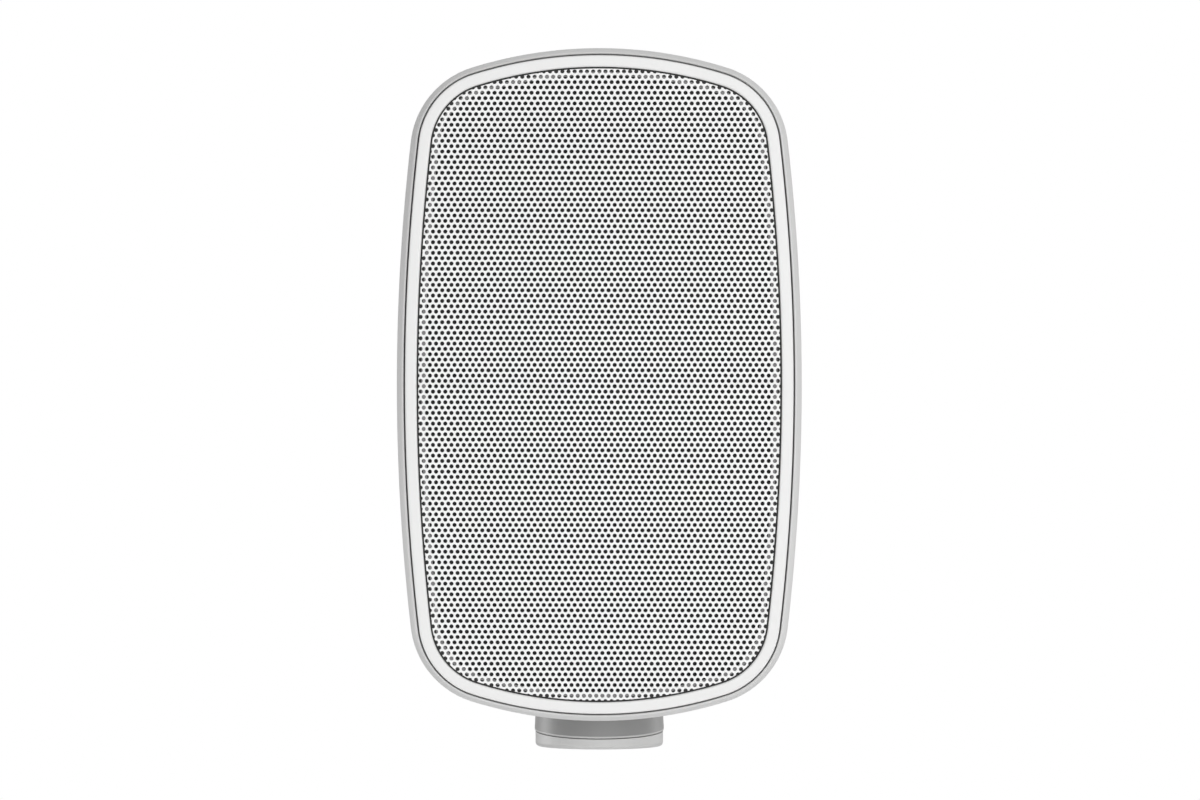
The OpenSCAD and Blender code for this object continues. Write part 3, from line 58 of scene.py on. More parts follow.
lens = bpy.data.cameras.new("camera")
lens.sensor_width = 36
lens.lens = 72.4
lens.shift_x = 0.0006
lens.shift_y = -0.0129
camera = bpy.data.objects.new("camera", lens)
camera.location = (0, CAMERA_Y, CAB_Z / 1000)
camera.rotation_euler = (math.radians(90), 0, 0)
bpy.context.collection.objects.link(camera)
bpy.context.scene.camera = camera
bpy.context.scene.view_settings.view_transform = "Standard"


def area_light(name, place, aim, width, height, power, spread=180):
    """A soft rectangular light at place that points at aim, inside a cone of spread degrees."""
    lamp = bpy.data.lights.new(name, "AREA")
    lamp.spread = math.radians(spread)
    lamp.shape = "RECTANGLE"
    lamp.size, lamp.size_y, lamp.energy = width, height, power
    thing = bpy.data.objects.new(name, lamp)
    thing.location = place
    thing.rotation_euler = (Vector(aim) - Vector(place)).to_track_quat("-Z", "Y").to_euler()
    bpy.context.collection.objects.link(thing)
    return thing


area_light("front_light", (0.42, -2.6, 0.75), (0, -0.2, 0.13), 2.4, 1.8, 39.5)
area_light("right_light", (2.2, -0.9, 0.5), (0, -0.15, 0.13), 1.2, 1.6, 5)
back_light = area_light("back_light", (0, 2.4, 0.4), (0, -0.1, 0.13), 1.6, 1.2, 30)
back_light.visible_glossy = False
area_light("low_light", (-0.35, -0.75, -0.70), (0, -0.16, -0.035), 0.8, 0.5, 0.14, 24)
FOOT = (0, -0.14, -0.03)
left_light = area_light("left_light", (-1.3, 0.35, -0.25), FOOT, 1.8, 0.5, 1.1, 34)
left_light.visible_diffuse = False
right_foot_light = area_light("right_foot_light", (1.3, 0.6, -0.25), FOOT, 1.4, 0.5, 0.32, 34)
right_foot_light.visible_diffuse = False


class Sock:
    """A shader value. Its operators add maths nodes, and node() adds any other node."""

    def __init__(self, tree, out):
        self.tree, self.out = tree, out

    def _set(self, socket, value):
        if isinstance(value, Sock):
            self.tree.links.new(value.out, socket)
        else:
            socket.default_value = value

    def maths(self, operation, first, second=0.0):
        made = self.tree.nodes.new("ShaderNodeMath")
        made.operation = operation
        self._set(made.inputs[0], first)
        self._set(made.inputs[1], second)
        return Sock(self.tree, made.outputs[0])

    def __add__(self, other):
        return self.maths("ADD", self, other)

    def __radd__(self, other):
        return self.maths("ADD", other, self)

    def __sub__(self, other):
        return self.maths("SUBTRACT", self, other)

    def __rsub__(self, other):
        return self.maths("SUBTRACT", other, self)

    def __mul__(self, other):
        return self.maths("MULTIPLY", self, other)

    def __rmul__(self, other):
        return self.maths("MULTIPLY", other, self)

    def __truediv__(self, other):
        return self.maths("DIVIDE", self, other)

    def __rtruediv__(self, other):
        return self.maths("DIVIDE", other, self)

    def node(self, kind, output=0, inputs=(), **settings):
        """Adds a node of that kind, sets it, feeds its inputs and returns one output."""
        made = self.tree.nodes.new(kind)
        for key, value in settings.items():
            setattr(made, key, value)
        for key, value in dict(inputs).items():
            self._set(made.inputs[key], value)
        return Sock(self.tree, made.outputs[output])


def new_material(name):
    """A fresh material, its shader node and its object coordinates in metres."""
    made = bpy.data.materials.new(name)
    made.use_nodes = True
    tree = made.node_tree
    shader = tree.nodes["Principled BSDF"]
    start = Sock(tree, None)
    return made, shader, start.node("ShaderNodeTexCoord", "Object")


def grained(name, colour, rough, grain=900.0, depth=0.06, metallic=0.0, spread=0.03):
    """A surface whose colour, roughness and fine relief follow a noise of that grain per metre.
    Its colour is the base colour times 1 - spread + 2 * spread * noise."""
    made, shader, place = new_material(name)
    fine = place.node("ShaderNodeTexNoise", 0, {"Vector": place, "Scale": grain, "Detail": 3.0})
    broad = place.node("ShaderNodeTexNoise", 0, {"Vector": place, "Scale": 28.0, "Detail": 2.0})
    tone = (fine * 0.7 + broad * 0.3) * (2 * spread) + (1 - spread)
    tinted = place.node(
        "ShaderNodeVectorMath", 0, {0: (*colour,), 1: tone_vector(place, tone)}, operation="MULTIPLY"
    )
    relief = place.node(
        "ShaderNodeBump", 0, {"Strength": depth, "Distance": 0.0002, "Height": fine}
    )
    links = place.tree.links
    links.new(tinted.out, shader.inputs["Base Color"])
    links.new((fine * 0.12 + (rough - 0.06)).out, shader.inputs["Roughness"])
    links.new(relief.out, shader.inputs["Normal"])
    shader.inputs["Metallic"].default_value = metallic
    return made


def tone_vector(place, tone):
    """The same number three times, as a vector."""
    return place.node("ShaderNodeCombineXYZ", 0, {0: tone, 1: tone, 2: tone})


def banded(name, colour, rough, per_metre, axis, depth=0.5, metallic=0.0, dark=0.55):
    """Fine parallel bands, such as wire windings or a weave's threads, across one axis. The
    colour falls to its dark share between the bands, and the relief follows them."""
    made, shader, place = new_material(name)
    wave = place.node(
        "ShaderNodeTexWave",
        1,
        {"Vector": place, "Scale": per_metre / 20.0, "Distortion": 0.4, "Detail": 1.0},
        wave_type="BANDS",
        bands_direction=axis,
    )
    tone = wave * (1 - dark) + dark
    tinted = place.node(
        "ShaderNodeVectorMath", 0, {0: (*colour,), 1: tone_vector(place, tone)}, operation="MULTIPLY"
    )
    relief = place.node(
        "ShaderNodeBump", 0, {"Strength": depth, "Distance": 0.0003, "Height": wave}
    )
    place.tree.links.new(tinted.out, shader.inputs["Base Color"])
    place.tree.links.new((wave * -0.1 + rough).out, shader.inputs["Roughness"])
    place.tree.links.new(relief.out, shader.inputs["Normal"])
    shader.inputs["Metallic"].default_value = metallic
    return made


def mesh_piece(name, points, faces, body, material, nodes=(), angle=38.0, face_out=True):
    """An object from points in millimetres (x, y, z) and arrays of faces. It rides on a body, has
    a material and a slot, and replaces the CAD nodes named. Edges sharper than angle stay sharp,
    and with face_out its faces are turned outwards."""
    mesh = bpy.data.meshes.new(name)
    mesh.vertices.add(len(points))
    mesh.vertices.foreach_set("co", (np.asarray(points) / 1000.0).astype(np.float32).ravel())
    corners = np.concatenate([np.asarray(f).ravel() for f in faces]).astype(np.int32)
    sizes = np.concatenate([np.full(len(f), np.asarray(f).shape[1]) for f in faces])
    mesh.loops.add(len(corners))
    mesh.loops.foreach_set("vertex_index", corners)
    mesh.polygons.add(len(sizes))
    mesh.polygons.foreach_set("loop_start", (np.cumsum(sizes) - sizes).astype(np.int32))
    mesh.update(calc_edges=True)
    mesh.validate()
    if face_out:
        work = bmesh.new()
        work.from_mesh(mesh)
        bmesh.ops.recalc_face_normals(work, faces=work.faces)
        work.to_mesh(mesh)
        work.free()
    if angle:
        mesh.shade_smooth()
        mesh.set_sharp_from_angle(angle=math.radians(angle))
    mesh.materials.append(material)
    thing = bpy.data.objects.new(name, mesh)
    bpy.context.collection.objects.link(thing)
    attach(thing, body)
    if nodes:
        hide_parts(*nodes)
    return thing


floor_paint, floor_shader, floor_place = new_material("floor_paint")
floor_tone = floor_place.node("ShaderNodeTexNoise", 0, {"Vector": floor_place, "Scale": 3.0})
floor_grey = floor_tone * 0.02 + 0.9
floor_colour = tone_vector(floor_place, floor_grey)
floor_place.tree.links.new(floor_colour.out, floor_shader.inputs["Base Color"])
floor_shader.inputs["Roughness"].default_value = 0.9
FLOOR_HALF, FLOOR_Z = 2.0, -0.75
floor_turns = ((-1, -1), (1, -1), (1, 1), (-1, 1))
floor_corners = [(x * FLOOR_HALF, y * FLOOR_HALF, FLOOR_Z) for x, y in floor_turns]
floor_mesh = bpy.data.meshes.new("floor")
floor_mesh.from_pydata(floor_corners, [], [(0, 1, 2, 3)])
floor_mesh.materials.append(floor_paint)
floor = bpy.data.objects.new("floor", floor_mesh)
bpy.context.collection.objects.link(floor)

# The surroundings are an even pale grey, and rays from the camera and its mirrors see white.
world = bpy.data.worlds.new("world")
world.use_nodes = True
bpy.context.scene.world = world
sky = world.node_tree
sky.nodes.clear()
surroundings = Sock(sky, None)
path = sky.nodes.new("ShaderNodeLightPath").outputs
seen = surroundings.maths("MAXIMUM", Sock(sky, path["Is Camera Ray"]), Sock(sky, path["Is Glossy Ray"]))
soft = surroundings.node("ShaderNodeBackground", 0, {"Color": (1, 1, 1, 1), "Strength": 0.30})
white = surroundings.node("ShaderNodeBackground", 0, {"Color": (1, 1, 1, 1), "Strength": 1.0})
sky_mix = surroundings.node("ShaderNodeMixShader", 0, {0: seen, 1: soft, 2: white})
sky_out = sky.nodes.new("ShaderNodeOutputWorld")
sky.links.new(sky_mix.out, sky_out.inputs["Surface"])

# Cabinet. One moulding in fine-grained matt white plastic, bowed at the sides and crowned at the
# ends. It is open at the front behind a thin lip, and its boss stands on the swivel drum.
HALF_W, HALF_H = 99.5, 165.25
SIDE_R, CROWN_R, CORNER_R = 1040.0, 210.0, 43.0
CAB_D, BELLY_D = 175.0, 12.0
LIP_INSET, LIP_D, LIP_EDGE = 4.0, 1.3, 0.4
BACK_INSET, BACK_R, WALL = 20.0, 16.0, 3.5
BACK_BOW, FRONT_BOW, BACK_ROUNDING = 1.8, 1.6, 0.3
SHELF_D, SHELF_W, SHELF_T = 21.5, 9.0, 4.0
CUP_HALF_W, CUP_TOP, CUP_BOTTOM = 26.0, -53.0, -87.0
INSERT_Z, INSERT_R = -30.0, 4.5
PAN_Y = -135.0
BOSS_R, BOSS_EDGE, BOSS_TOP, DRUM_TOP, BOSS_SIDES = 33.2, 0.6, 3.1, -17.9, 96
AXIS_R = 0.01


def outline(inset, radius):
    """The cabinet's outline drawn in by inset, as (x, z) about its centre. Two side arcs and two
    crown arcs are joined by corner arcs that touch both. The corner's centre lies where circles
    round the two arcs' centres, smaller by its own radius, meet."""
    sx, tz = HALF_W - SIDE_R, HALF_H - CROWN_R
    side, crown = SIDE_R - inset, CROWN_R - inset
    gap = math.hypot(sx, tz)
    along = ((side - radius) ** 2 - (crown - radius) ** 2 + gap**2) / (2 * gap)
    aside = math.sqrt((side - radius) ** 2 - along**2)
    ux, uz = -sx / gap, tz / gap
    qx = sx + along * ux - aside * uz
    qz = along * uz + aside * ux
    first = math.atan2(qz, qx - sx)
    last = math.atan2(qz - tz, qx)
    a = np.linspace(0, first, 12, endpoint=False)
    b = np.linspace(first, last, 20, endpoint=False)
    c = np.linspace(last, math.pi / 2, 16, endpoint=False)
    quarter = np.concatenate(
        [
            np.stack([sx + side * np.cos(a), side * np.sin(a)], 1),
            np.stack([qx + radius * np.cos(b), qz + radius * np.sin(b)], 1),
            np.stack([crown * np.cos(c), tz + crown * np.sin(c)], 1),
        ]
    )
    upper = np.concatenate([quarter, [[0, tz + crown]], quarter[::-1] * [-1, 1]])
    return np.concatenate([upper, upper[::-1][1:-1] * [1, -1]])


def corner(inset):
    """Corner radius of a front ring: the rings run parallel, down to 5 mm."""
    return max(CORNER_R - inset, 5.0)


def back_corner(inset):
    """Corner radius of a ring behind the widest one, which grows as the ring is drawn in."""
    return CORNER_R + BACK_ROUNDING * inset


def placed(rows):
    """Rings of (inset, depth, radius) as points in the shared frame, one ring after another."""
    rings = [
        np.insert(outline(inset, radius) + [0, CAB_Z], 1, FRONT_Y + depth, axis=1)
        for inset, depth, radius in rows
    ]
    return np.concatenate(rings)


def bands(rows, ring, closed=False):
    """Faces between neighbouring rings of so many points, and from last to first if closed."""
    k = np.arange(ring)
    n = (k + 1) % ring
    made = []
    for r in range(rows if closed else rows - 1):
        here, there = r * ring, (r + 1) % rows * ring
        made.append(np.stack([k + here, n + here, n + there, k + there], 1))
    return np.concatenate(made)


def plate_faces(outer, holes):
    """Triangles that fill a flat outline but not its holes, from a constrained triangulation. A
    triangle belongs to a hole if its middle lies inside the hole's loop of points."""
    loops = [outer, *holes]
    points = np.concatenate(loops)
    edges, start = [], 0
    for loop in loops:
        edges += [(start + i, start + (i + 1) % len(loop)) for i in range(len(loop))]
        start += len(loop)
    made = delaunay_2d_cdt([Vector(p) for p in points.tolist()], edges, [], 1, 1e-6)
    corners = np.array([list(v) for v in made[0]])
    faces = np.array(made[2])
    middle = corners[faces].mean(1)
    keep = np.ones(len(faces), bool)
    for loop in holes:
        after = np.roll(loop, -1, 0)
        level = (loop[None, :, 1] > middle[:, None, 1]) != (after[None, :, 1] > middle[:, None, 1])
        run = np.where(after[:, 1] == loop[:, 1], 1, after[:, 1] - loop[:, 1])
        cut = (after[:, 0] - loop[:, 0]) * (middle[:, None, 1] - loop[:, 1]) / run + loop[:, 0]
        keep &= (level & (middle[:, None, 0] < cut)).sum(1) % 2 == 0
    return faces[keep]


def circle(x, z, radius, sides=48):
    """A round loop of points."""
    t = np.arange(sides) * 2 * np.pi / sides
    return np.stack([x + radius * np.cos(t), z + radius * np.sin(t)], 1)


back_run = CAB_D - BACK_R - BELLY_D
back_tilt = math.atan(BACK_BOW * BACK_INSET / back_run)
back_start = CAB_D - BACK_R * (1 - math.sin(back_tilt))
back_centre = BACK_INSET + BACK_R * math.cos(back_tilt)
BODY_STEPS, EDGE_STEPS = 18, 10


def draw_in(s):
    """Inset and depth behind the widest ring: the inset grows with a power of the share s."""
    return BACK_INSET * s**BACK_BOW, BELLY_D + (back_start - BELLY_D) * s


def back_edge(t, radius):
    """Inset and depth round the back's edge at angle t."""
    return back_centre - radius * math.cos(t), CAB_D - BACK_R + radius * math.sin(t)


turns = np.linspace(back_tilt, math.pi / 2, EDGE_STEPS + 1)
outer = [(i, d, back_corner(i)) for i, d in (back_edge(t, BACK_R) for t in turns[::-1])]
body_shares = np.linspace(1, 0, BODY_STEPS + 1)[1:]
outer += [(i, d, back_corner(i)) for i, d in (draw_in(s) for s in body_shares)]
for s in np.linspace(1, 0, EDGE_STEPS + 1)[1:]:
    inset = (LIP_INSET - 2 * LIP_EDGE) * (1 - s) ** FRONT_BOW
    outer.append((inset, LIP_D + LIP_EDGE + (BELLY_D - LIP_D - LIP_EDGE) * s, corner(inset)))
outer.append((LIP_INSET - LIP_EDGE, LIP_D, corner(LIP_INSET - LIP_EDGE)))
shelf_inset = LIP_INSET + SHELF_W
shelf = [(LIP_INSET, LIP_D + LIP_EDGE), (LIP_INSET, SHELF_D), (shelf_inset, SHELF_D)]
shelf.append((shelf_inset, SHELF_D + SHELF_T))
inner = [(i, d, corner(i)) for i, d in shelf]
wall_shares = np.linspace(0.15, 1, 16)[:-1]
inner += [(i + WALL, d, back_corner(i) - WALL) for i, d in (draw_in(s) for s in wall_shares)]
inner += [(i, d, back_corner(i) - WALL) for i, d in (back_edge(t, BACK_R - WALL) for t in turns)]
rows = outer + inner
ring_points = len(outline(0, CORNER_R))
skin = placed(rows)
cup_low = [[-CUP_HALF_W, CUP_BOTTOM], [CUP_HALF_W, CUP_BOTTOM]]
cup_high = [[CUP_HALF_W, CUP_TOP], [-CUP_HALF_W, CUP_TOP]]
back_loops = [np.array(cup_low + cup_high), circle(0, INSERT_Z, INSERT_R)]
front_ring = outline(*rows[0][::2])
back_ring = outline(*rows[-1][::2])
outside = plate_faces(front_ring, back_loops)
inside = plate_faces(back_ring, back_loops)
hole_points = np.concatenate(back_loops)
count = len(skin)
outer_holes = np.insert(hole_points + [0, CAB_Z], 1, FRONT_Y + CAB_D, axis=1)
inner_holes = np.insert(hole_points + [0, CAB_Z], 1, FRONT_Y + CAB_D - WALL, axis=1)
last = (len(rows) - 1) * ring_points
outside = np.where(outside < ring_points, outside, outside - ring_points + count)
inside = np.where(inside < ring_points, inside + last, inside - ring_points + count + len(hole_points))
walls, start = [], 0
for loop in back_loops:
    k = np.arange(len(loop)) + start + count
    n = np.roll(k, -1)
    walls.append(np.stack([k, n, n + len(hole_points), k + len(hole_points)], 1))
    start += len(loop)


def turned(levels, sides):
    """Rings of (radius, height) about the swivel's axis: x = r cos t and y = r sin t."""
    t = np.arange(sides) * 2 * np.pi / sides
    x, y = np.cos(t), np.sin(t)
    return np.concatenate([np.stack([r * x, PAN_Y + r * y, np.full(sides, z)], 1) for r, z in levels])


boss_levels = [(AXIS_R, DRUM_TOP), (BOSS_R - BOSS_EDGE, DRUM_TOP), (BOSS_R, DRUM_TOP + BOSS_EDGE)]
boss_levels += [(BOSS_R, BOSS_TOP), (AXIS_R, BOSS_TOP)]
boss = turned(boss_levels, BOSS_SIDES)
boss_faces = bands(len(boss_levels), BOSS_SIDES) + count + 2 * len(hole_points)
white_plastic = grained("cabinet_plastic", (0.765, 0.765, 0.76), 0.55, grain=1100, depth=0.10)
mesh_piece(
    "cabinet_skin",
    np.concatenate([skin, outer_holes, inner_holes, boss]),
    [bands(len(rows), ring_points), outside, inside, *walls, boss_faces],
    "cabinet",
    white_plastic,
    ["cabinet_shell"],
)

# Grille frame. A moulded ring in brighter white plastic with round edges, set 0.9 mm inside the
# cabinet's lip. Its ledge carries the sheet. The ledge is coloured with painted shade: near black
# at its outer band and dark grey inside it. Eight pegs behind it press into rubber cups.
FRAME_INSET, FRAME_W, FRAME_D, FRAME_EDGE = 4.9, 5.6, 7.0, 0.9
SHEET_INSET = FRAME_INSET + FRAME_W
LEDGE_W, LEDGE_D, LEDGE_T, SHADOW_BAND_W = 4.0, 1.8, 1.6, 2.3
PEG_TOP_Z, PEG_LOW_Z, PEG_END_X, PEG_SIDES = 38.0, 47 - HALF_H, 39.5, 20
bend = np.radians(np.linspace(0, 90, 7))
rise, run = FRAME_EDGE * (1 - np.sin(bend)), FRAME_EDGE * (1 - np.cos(bend))
ledge_end, ledge_back = SHEET_INSET + LEDGE_W, LEDGE_D + LEDGE_T
frame_rows = [(FRAME_INSET, FRAME_D), *zip(FRAME_INSET + run, rise), *zip(SHEET_INSET - rise, run)]
ledge_row = len(frame_rows)
frame_rows += [(SHEET_INSET, LEDGE_D), (SHEET_INSET + SHADOW_BAND_W, LEDGE_D), (ledge_end, LEDGE_D)]
frame_rows += [(ledge_end, ledge_back), (SHEET_INSET, ledge_back), (SHEET_INSET, FRAME_D)]
frame_points = placed([(i, d, corner(i)) for i, d in frame_rows])
frame_faces = bands(len(frame_rows), ring_points, closed=True)


def half_width(z, inset):
    """Half the cabinet's width at height z, drawn in by inset."""
    return HALF_W - SIDE_R + math.sqrt((SIDE_R - inset) ** 2 - z**2)


def half_height(x, inset):
    """Half the cabinet's height at x, drawn in by inset."""
    return HALF_H - CROWN_R + math.sqrt((CROWN_R - inset) ** 2 - x**2)


peg_inset = FRAME_INSET + FRAME_W / 2
peg_places = [(s * half_width(z, peg_inset), z) for z in (PEG_TOP_Z, PEG_LOW_Z) for s in (-1, 1)]
peg_end_z = half_height(PEG_END_X, peg_inset)
peg_places += [(x * PEG_END_X, s * peg_end_z) for x in (-1, 1) for s in (-1, 1)]
peg_levels = [(AXIS_R, 6.8), (2.2, 6.8), (2.2, 12.0), (1.3, 12.0), (1.3, 14.5), (0.9, 15.0), (AXIS_R, 15.0)]
peg_rings = [np.insert(circle(0, 0, r, PEG_SIDES), 1, FRONT_Y + d, axis=1) for r, d in peg_levels]
peg = np.concatenate(peg_rings)
peg_points = np.concatenate([peg + [x, 0, z + CAB_Z] for x, z in peg_places])
peg_bands = bands(len(peg_levels), PEG_SIDES) + len(frame_points)
peg_faces = np.concatenate([peg_bands + i * len(peg) for i in range(len(peg_places))])
frame_plastic = grained("frame_plastic", (0.84, 0.84, 0.835), 0.5, grain=1100, depth=0.10, spread=0.02)
frame_ring = mesh_piece(
    "grille_frame_ring",
    np.concatenate([frame_points, peg_points]),
    [frame_faces, peg_faces],
    "cabinet",
    frame_plastic,
    ["grille_frame"],
    angle=50,
)
# Painted shadow: the ledge's outer band is near black, for the shade behind the sheet's edge.
ledge_painted_shadow = grained("ledge_outer_painted_shadow", (0.02, 0.02, 0.02), 0.8, grain=700, depth=0.2, spread=0.1)
# Painted shade: the rest of the ledge is dark grey, for the shade it lies in behind the sheet.
ledge_painted_shade = grained("ledge_shade", (0.22, 0.22, 0.22), 0.7, grain=700, depth=0.1)
frame_ring.data.materials.append(ledge_painted_shadow)
frame_ring.data.materials.append(ledge_painted_shade)
# The ledge's painted shade goes on its faces: index 1 is the near-black outer band, 2 the grey rest.
which = np.zeros(len(frame_ring.data.polygons), np.int32)
which[ledge_row * ring_points : (ledge_row + 1) * ring_points] = 1
which[(ledge_row + 1) * ring_points : (ledge_row + 2) * ring_points] = 2
frame_ring.data.polygons.foreach_set("material_index", which)

# Perforated sheet. Steel 1 mm thick, powder-coated white, with 2 mm holes at 3 mm in staggered
# rows. It is cut from stock, so its edge cuts the outer holes, and it lies on the frame's ledge.
PITCH = 3.0
ROW = PITCH * math.sqrt(3) / 2
HOLE_R, HOLE_SIDES = 1.0, 10
FIRST_ROW, ROWS_EACH_WAY, HOLES_EACH_WAY, CELL_REACH = 1.75, 64, 34, 2.2
SHEET_GAP, SHEET_D, SHEET_T = 0.9, 0.8, 1.0
SHEET_EDGE = SHEET_INSET + SHEET_GAP


def edge_distance(points, inset):
    """How far each (x, z) lies outside the outline drawn in by inset, negative inside. It is the
    distance to the side, corner or crown arc, whichever sector the point is in."""
    radius = corner(inset)
    sx, tz = HALF_W - SIDE_R, HALF_H - CROWN_R
    side, crown = SIDE_R - inset, CROWN_R - inset
    gap = math.hypot(sx, tz)
    along = ((side - radius) ** 2 - (crown - radius) ** 2 + gap**2) / (2 * gap)
    aside = math.sqrt((side - radius) ** 2 - along**2)
    qx = sx + along * -sx / gap - aside * tz / gap
    qz = along * tz / gap + aside * -sx / gap
    x, z = np.abs(points[..., 0]), np.abs(points[..., 1])
    first, last = math.atan2(qz, qx - sx), math.atan2(qz - tz, qx)
    by_side = np.hypot(x - sx, z) - side
    by_crown = np.hypot(x, z - tz) - crown
    by_corner = np.hypot(x - qx, z - qz) - radius
    low = np.arctan2(z, x - sx) <= first
    high = np.arctan2(z - tz, x) >= last
    return np.where(low, by_side, np.where(high, by_crown, by_corner))


def cell():
    """One hexagon round one hole as triangles: each side of the hole joins the nearest corner,
    and each side of the hexagon the hole's nearest point. The hole's corners lie a little outside
    its radius, so that it has the round hole's area."""
    hexagon = np.radians(np.arange(6) * 60 + 30)
    hole = np.radians(np.arange(HOLE_SIDES) * 360 / HOLE_SIDES)
    far = np.stack([np.cos(hexagon), np.sin(hexagon)], 1) * PITCH / math.sqrt(3)
    near = np.stack([np.cos(hole), np.sin(hole)], 1) * HOLE_R
    near *= math.sqrt(2 * math.pi / HOLE_SIDES / math.sin(2 * math.pi / HOLE_SIDES))
    made, i, j = [], 0, 1
    while i < 6 or j < HOLE_SIDES + 1:
        next_far = 30 + 60 * (i + 1)
        next_near = (j + 1) * 360 / HOLE_SIDES
        if j >= HOLE_SIDES + 1 or (i < 6 and next_far <= next_near):
            made.append([far[i % 6], far[(i + 1) % 6], near[j % HOLE_SIDES]])
            i += 1
        else:
            made.append([far[i % 6], near[(j + 1) % HOLE_SIDES], near[j % HOLE_SIDES]])
            j += 1
    return np.array(made)


def clipped(triangles, inset):
    """The triangles cut to the outline. A crossing point divides an edge in the ratio of its
    ends' distances; one corner inside leaves a triangle, and two leave two."""
    d = edge_distance(triangles, inset)
    inside = d < 0
    number = inside.sum(1)
    whole = triangles[number == 3]
    out = [whole]
    for wanted in (1, 2):
        chosen = number == wanted
        odd = inside[chosen] if wanted == 1 else ~inside[chosen]
        turn = (np.argmax(odd, 1)[:, None] + np.arange(3)) % 3
        p = np.take_along_axis(triangles[chosen], turn[..., None], 1)
        e = np.take_along_axis(d[chosen], turn, 1)
        ab = p[:, 0] + (p[:, 1] - p[:, 0]) * (e[:, 0] / (e[:, 0] - e[:, 1]))[:, None]
        ac = p[:, 0] + (p[:, 2] - p[:, 0]) * (e[:, 0] / (e[:, 0] - e[:, 2]))[:, None]
        if wanted == 1:
            out.append(np.stack([p[:, 0], ab, ac], 1))
        else:
            out += [np.stack([ab, p[:, 1], p[:, 2]], 1), np.stack([ab, p[:, 2], ac], 1)]
    return np.concatenate(out)


powder = grained("grille_paint", (0.96, 0.96, 0.96), 0.5, grain=1500, depth=0.05, spread=0.01)
row_numbers = np.arange(-ROWS_EACH_WAY, ROWS_EACH_WAY + 1)
across = np.arange(-HOLES_EACH_WAY, HOLES_EACH_WAY + 1) * PITCH
upper, lower = row_numbers[row_numbers >= 0], row_numbers[row_numbers < 0]
for name, levels in (("grille_sheet_upper", upper), ("grille_sheet_lower", lower)):
    column, row = np.meshgrid(across, levels)
    centres = np.stack([column + row % 2 * PITCH / 2, FIRST_ROW + row * ROW], -1).reshape(-1, 2)
    centres = centres[edge_distance(centres, SHEET_EDGE) < CELL_REACH]
    soup = (centres[:, None, None] + cell()[None]).reshape(-1, 3, 2)
    soup = clipped(soup, SHEET_EDGE)
    # Corners at the same place, to half a thousandth of a millimetre, become one.
    key = np.round(soup.reshape(-1, 2) * 2000).astype(np.int64)
    packed = (key[:, 0] + 1_000_000) * 4_000_000 + key[:, 1] + 1_000_000
    _, where, index = np.unique(packed, return_index=True, return_inverse=True)
    flat = soup.reshape(-1, 2)[where]
    tri = index.reshape(-1, 3)
    tri = tri[(tri[:, 0] != tri[:, 1]) & (tri[:, 1] != tri[:, 2]) & (tri[:, 2] != tri[:, 0])]
    size = len(flat)
    sides = np.concatenate([tri[:, [0, 1]], tri[:, [1, 2]], tri[:, [2, 0]]])
    forward = sides[:, 0] * size + sides[:, 1]
    border = sides[~np.isin(forward, sides[:, 1] * size + sides[:, 0])]
    front = np.insert(flat + [0, CAB_Z], 1, FRONT_Y + SHEET_D, axis=1)
    rear = front + [0, SHEET_T, 0]
    wall = np.stack([border[:, 0], border[:, 0] + size, border[:, 1] + size, border[:, 1]], 1)
    sheet_half = mesh_piece(
        name,
        np.concatenate([front, rear]),
        [tri, tri[:, ::-1] + size, wall],
        "cabinet",
        powder,
        ["grille_sheet"],
        angle=0,
        face_out=False,
    )
    # The front's map is the sheet itself, the back's lies beside it, and a hole's wall fills the
    # hole's own place on the map, drawn in by 0.3 mm.
    low, span = flat.min(0), np.ptp(flat, axis=0).max() * 2.1
    spot = (flat - low) / span
    normal = flat[border[:, 1]] - flat[border[:, 0]]
    normal = np.stack([normal[:, 1], -normal[:, 0]], 1)
    normal /= np.maximum(np.linalg.norm(normal, axis=1), 1e-9)[:, None] * span / 0.3
    start, end = spot[border[:, 0]], spot[border[:, 1]]
    wall_map = np.stack([start, start + normal, end + normal, end], 1)
    chart = sheet_half.data.uv_layers.new(name="OFBake")
    charts = (spot[tri], spot[tri[:, ::-1]] + [0.5, 0], wall_map)
    values = np.concatenate([part.reshape(-1, 2) for part in charts])
    chart.data.foreach_set("uv", values.astype(np.float32).ravel())

# Grille cloth. A single layer of black knit, cut to the ledge's inner outline and stretched flat
# behind the sheet, glued to the frame.
CLOTH_INSET, CLOTH_D = ledge_end + 0.3, 2.05
cloth_ring = outline(CLOTH_INSET, corner(CLOTH_INSET))
cloth_shares = np.linspace(0, 1, 9)[1:]
cloth_points = np.concatenate([[[0, 0]]] + [cloth_ring * s for s in cloth_shares])
k = np.arange(ring_points)
n = (k + 1) % ring_points
middle_fan = np.stack([np.zeros_like(k), n + 1, k + 1], 1)
cloth_faces = [middle_fan, bands(len(cloth_shares), ring_points) + 1]
knit = banded("grille_cloth", (0.012, 0.012, 0.012), 0.95, 1600, "X", depth=0.4)
cloth = mesh_piece(
    "grille_cloth_knit",
    np.insert(cloth_points + [0, CAB_Z], 1, FRONT_Y + CLOTH_D, axis=1),
    cloth_faces,
    "cabinet",
    knit,
    ["grille_cloth"],
    face_out=False,
)

# Damping wadding. A loose slab of polyester fibre, soft at its edges, held behind the tweeter.
low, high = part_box("damping_wadding")
middle = np.array(low + high) * 500.0
half = np.array(high - low) * 500.0
PAD_SIDES, PAD_RINGS = 72, 25
u = np.linspace(-np.pi / 2, np.pi / 2, PAD_RINGS)[1:-1]
v = np.arange(PAD_SIDES) * 2 * np.pi / PAD_SIDES


def power(value, share):
    """Value to a share's power, keeping its sign, which squares a round form off."""
    return np.sign(value) * np.abs(value) ** share


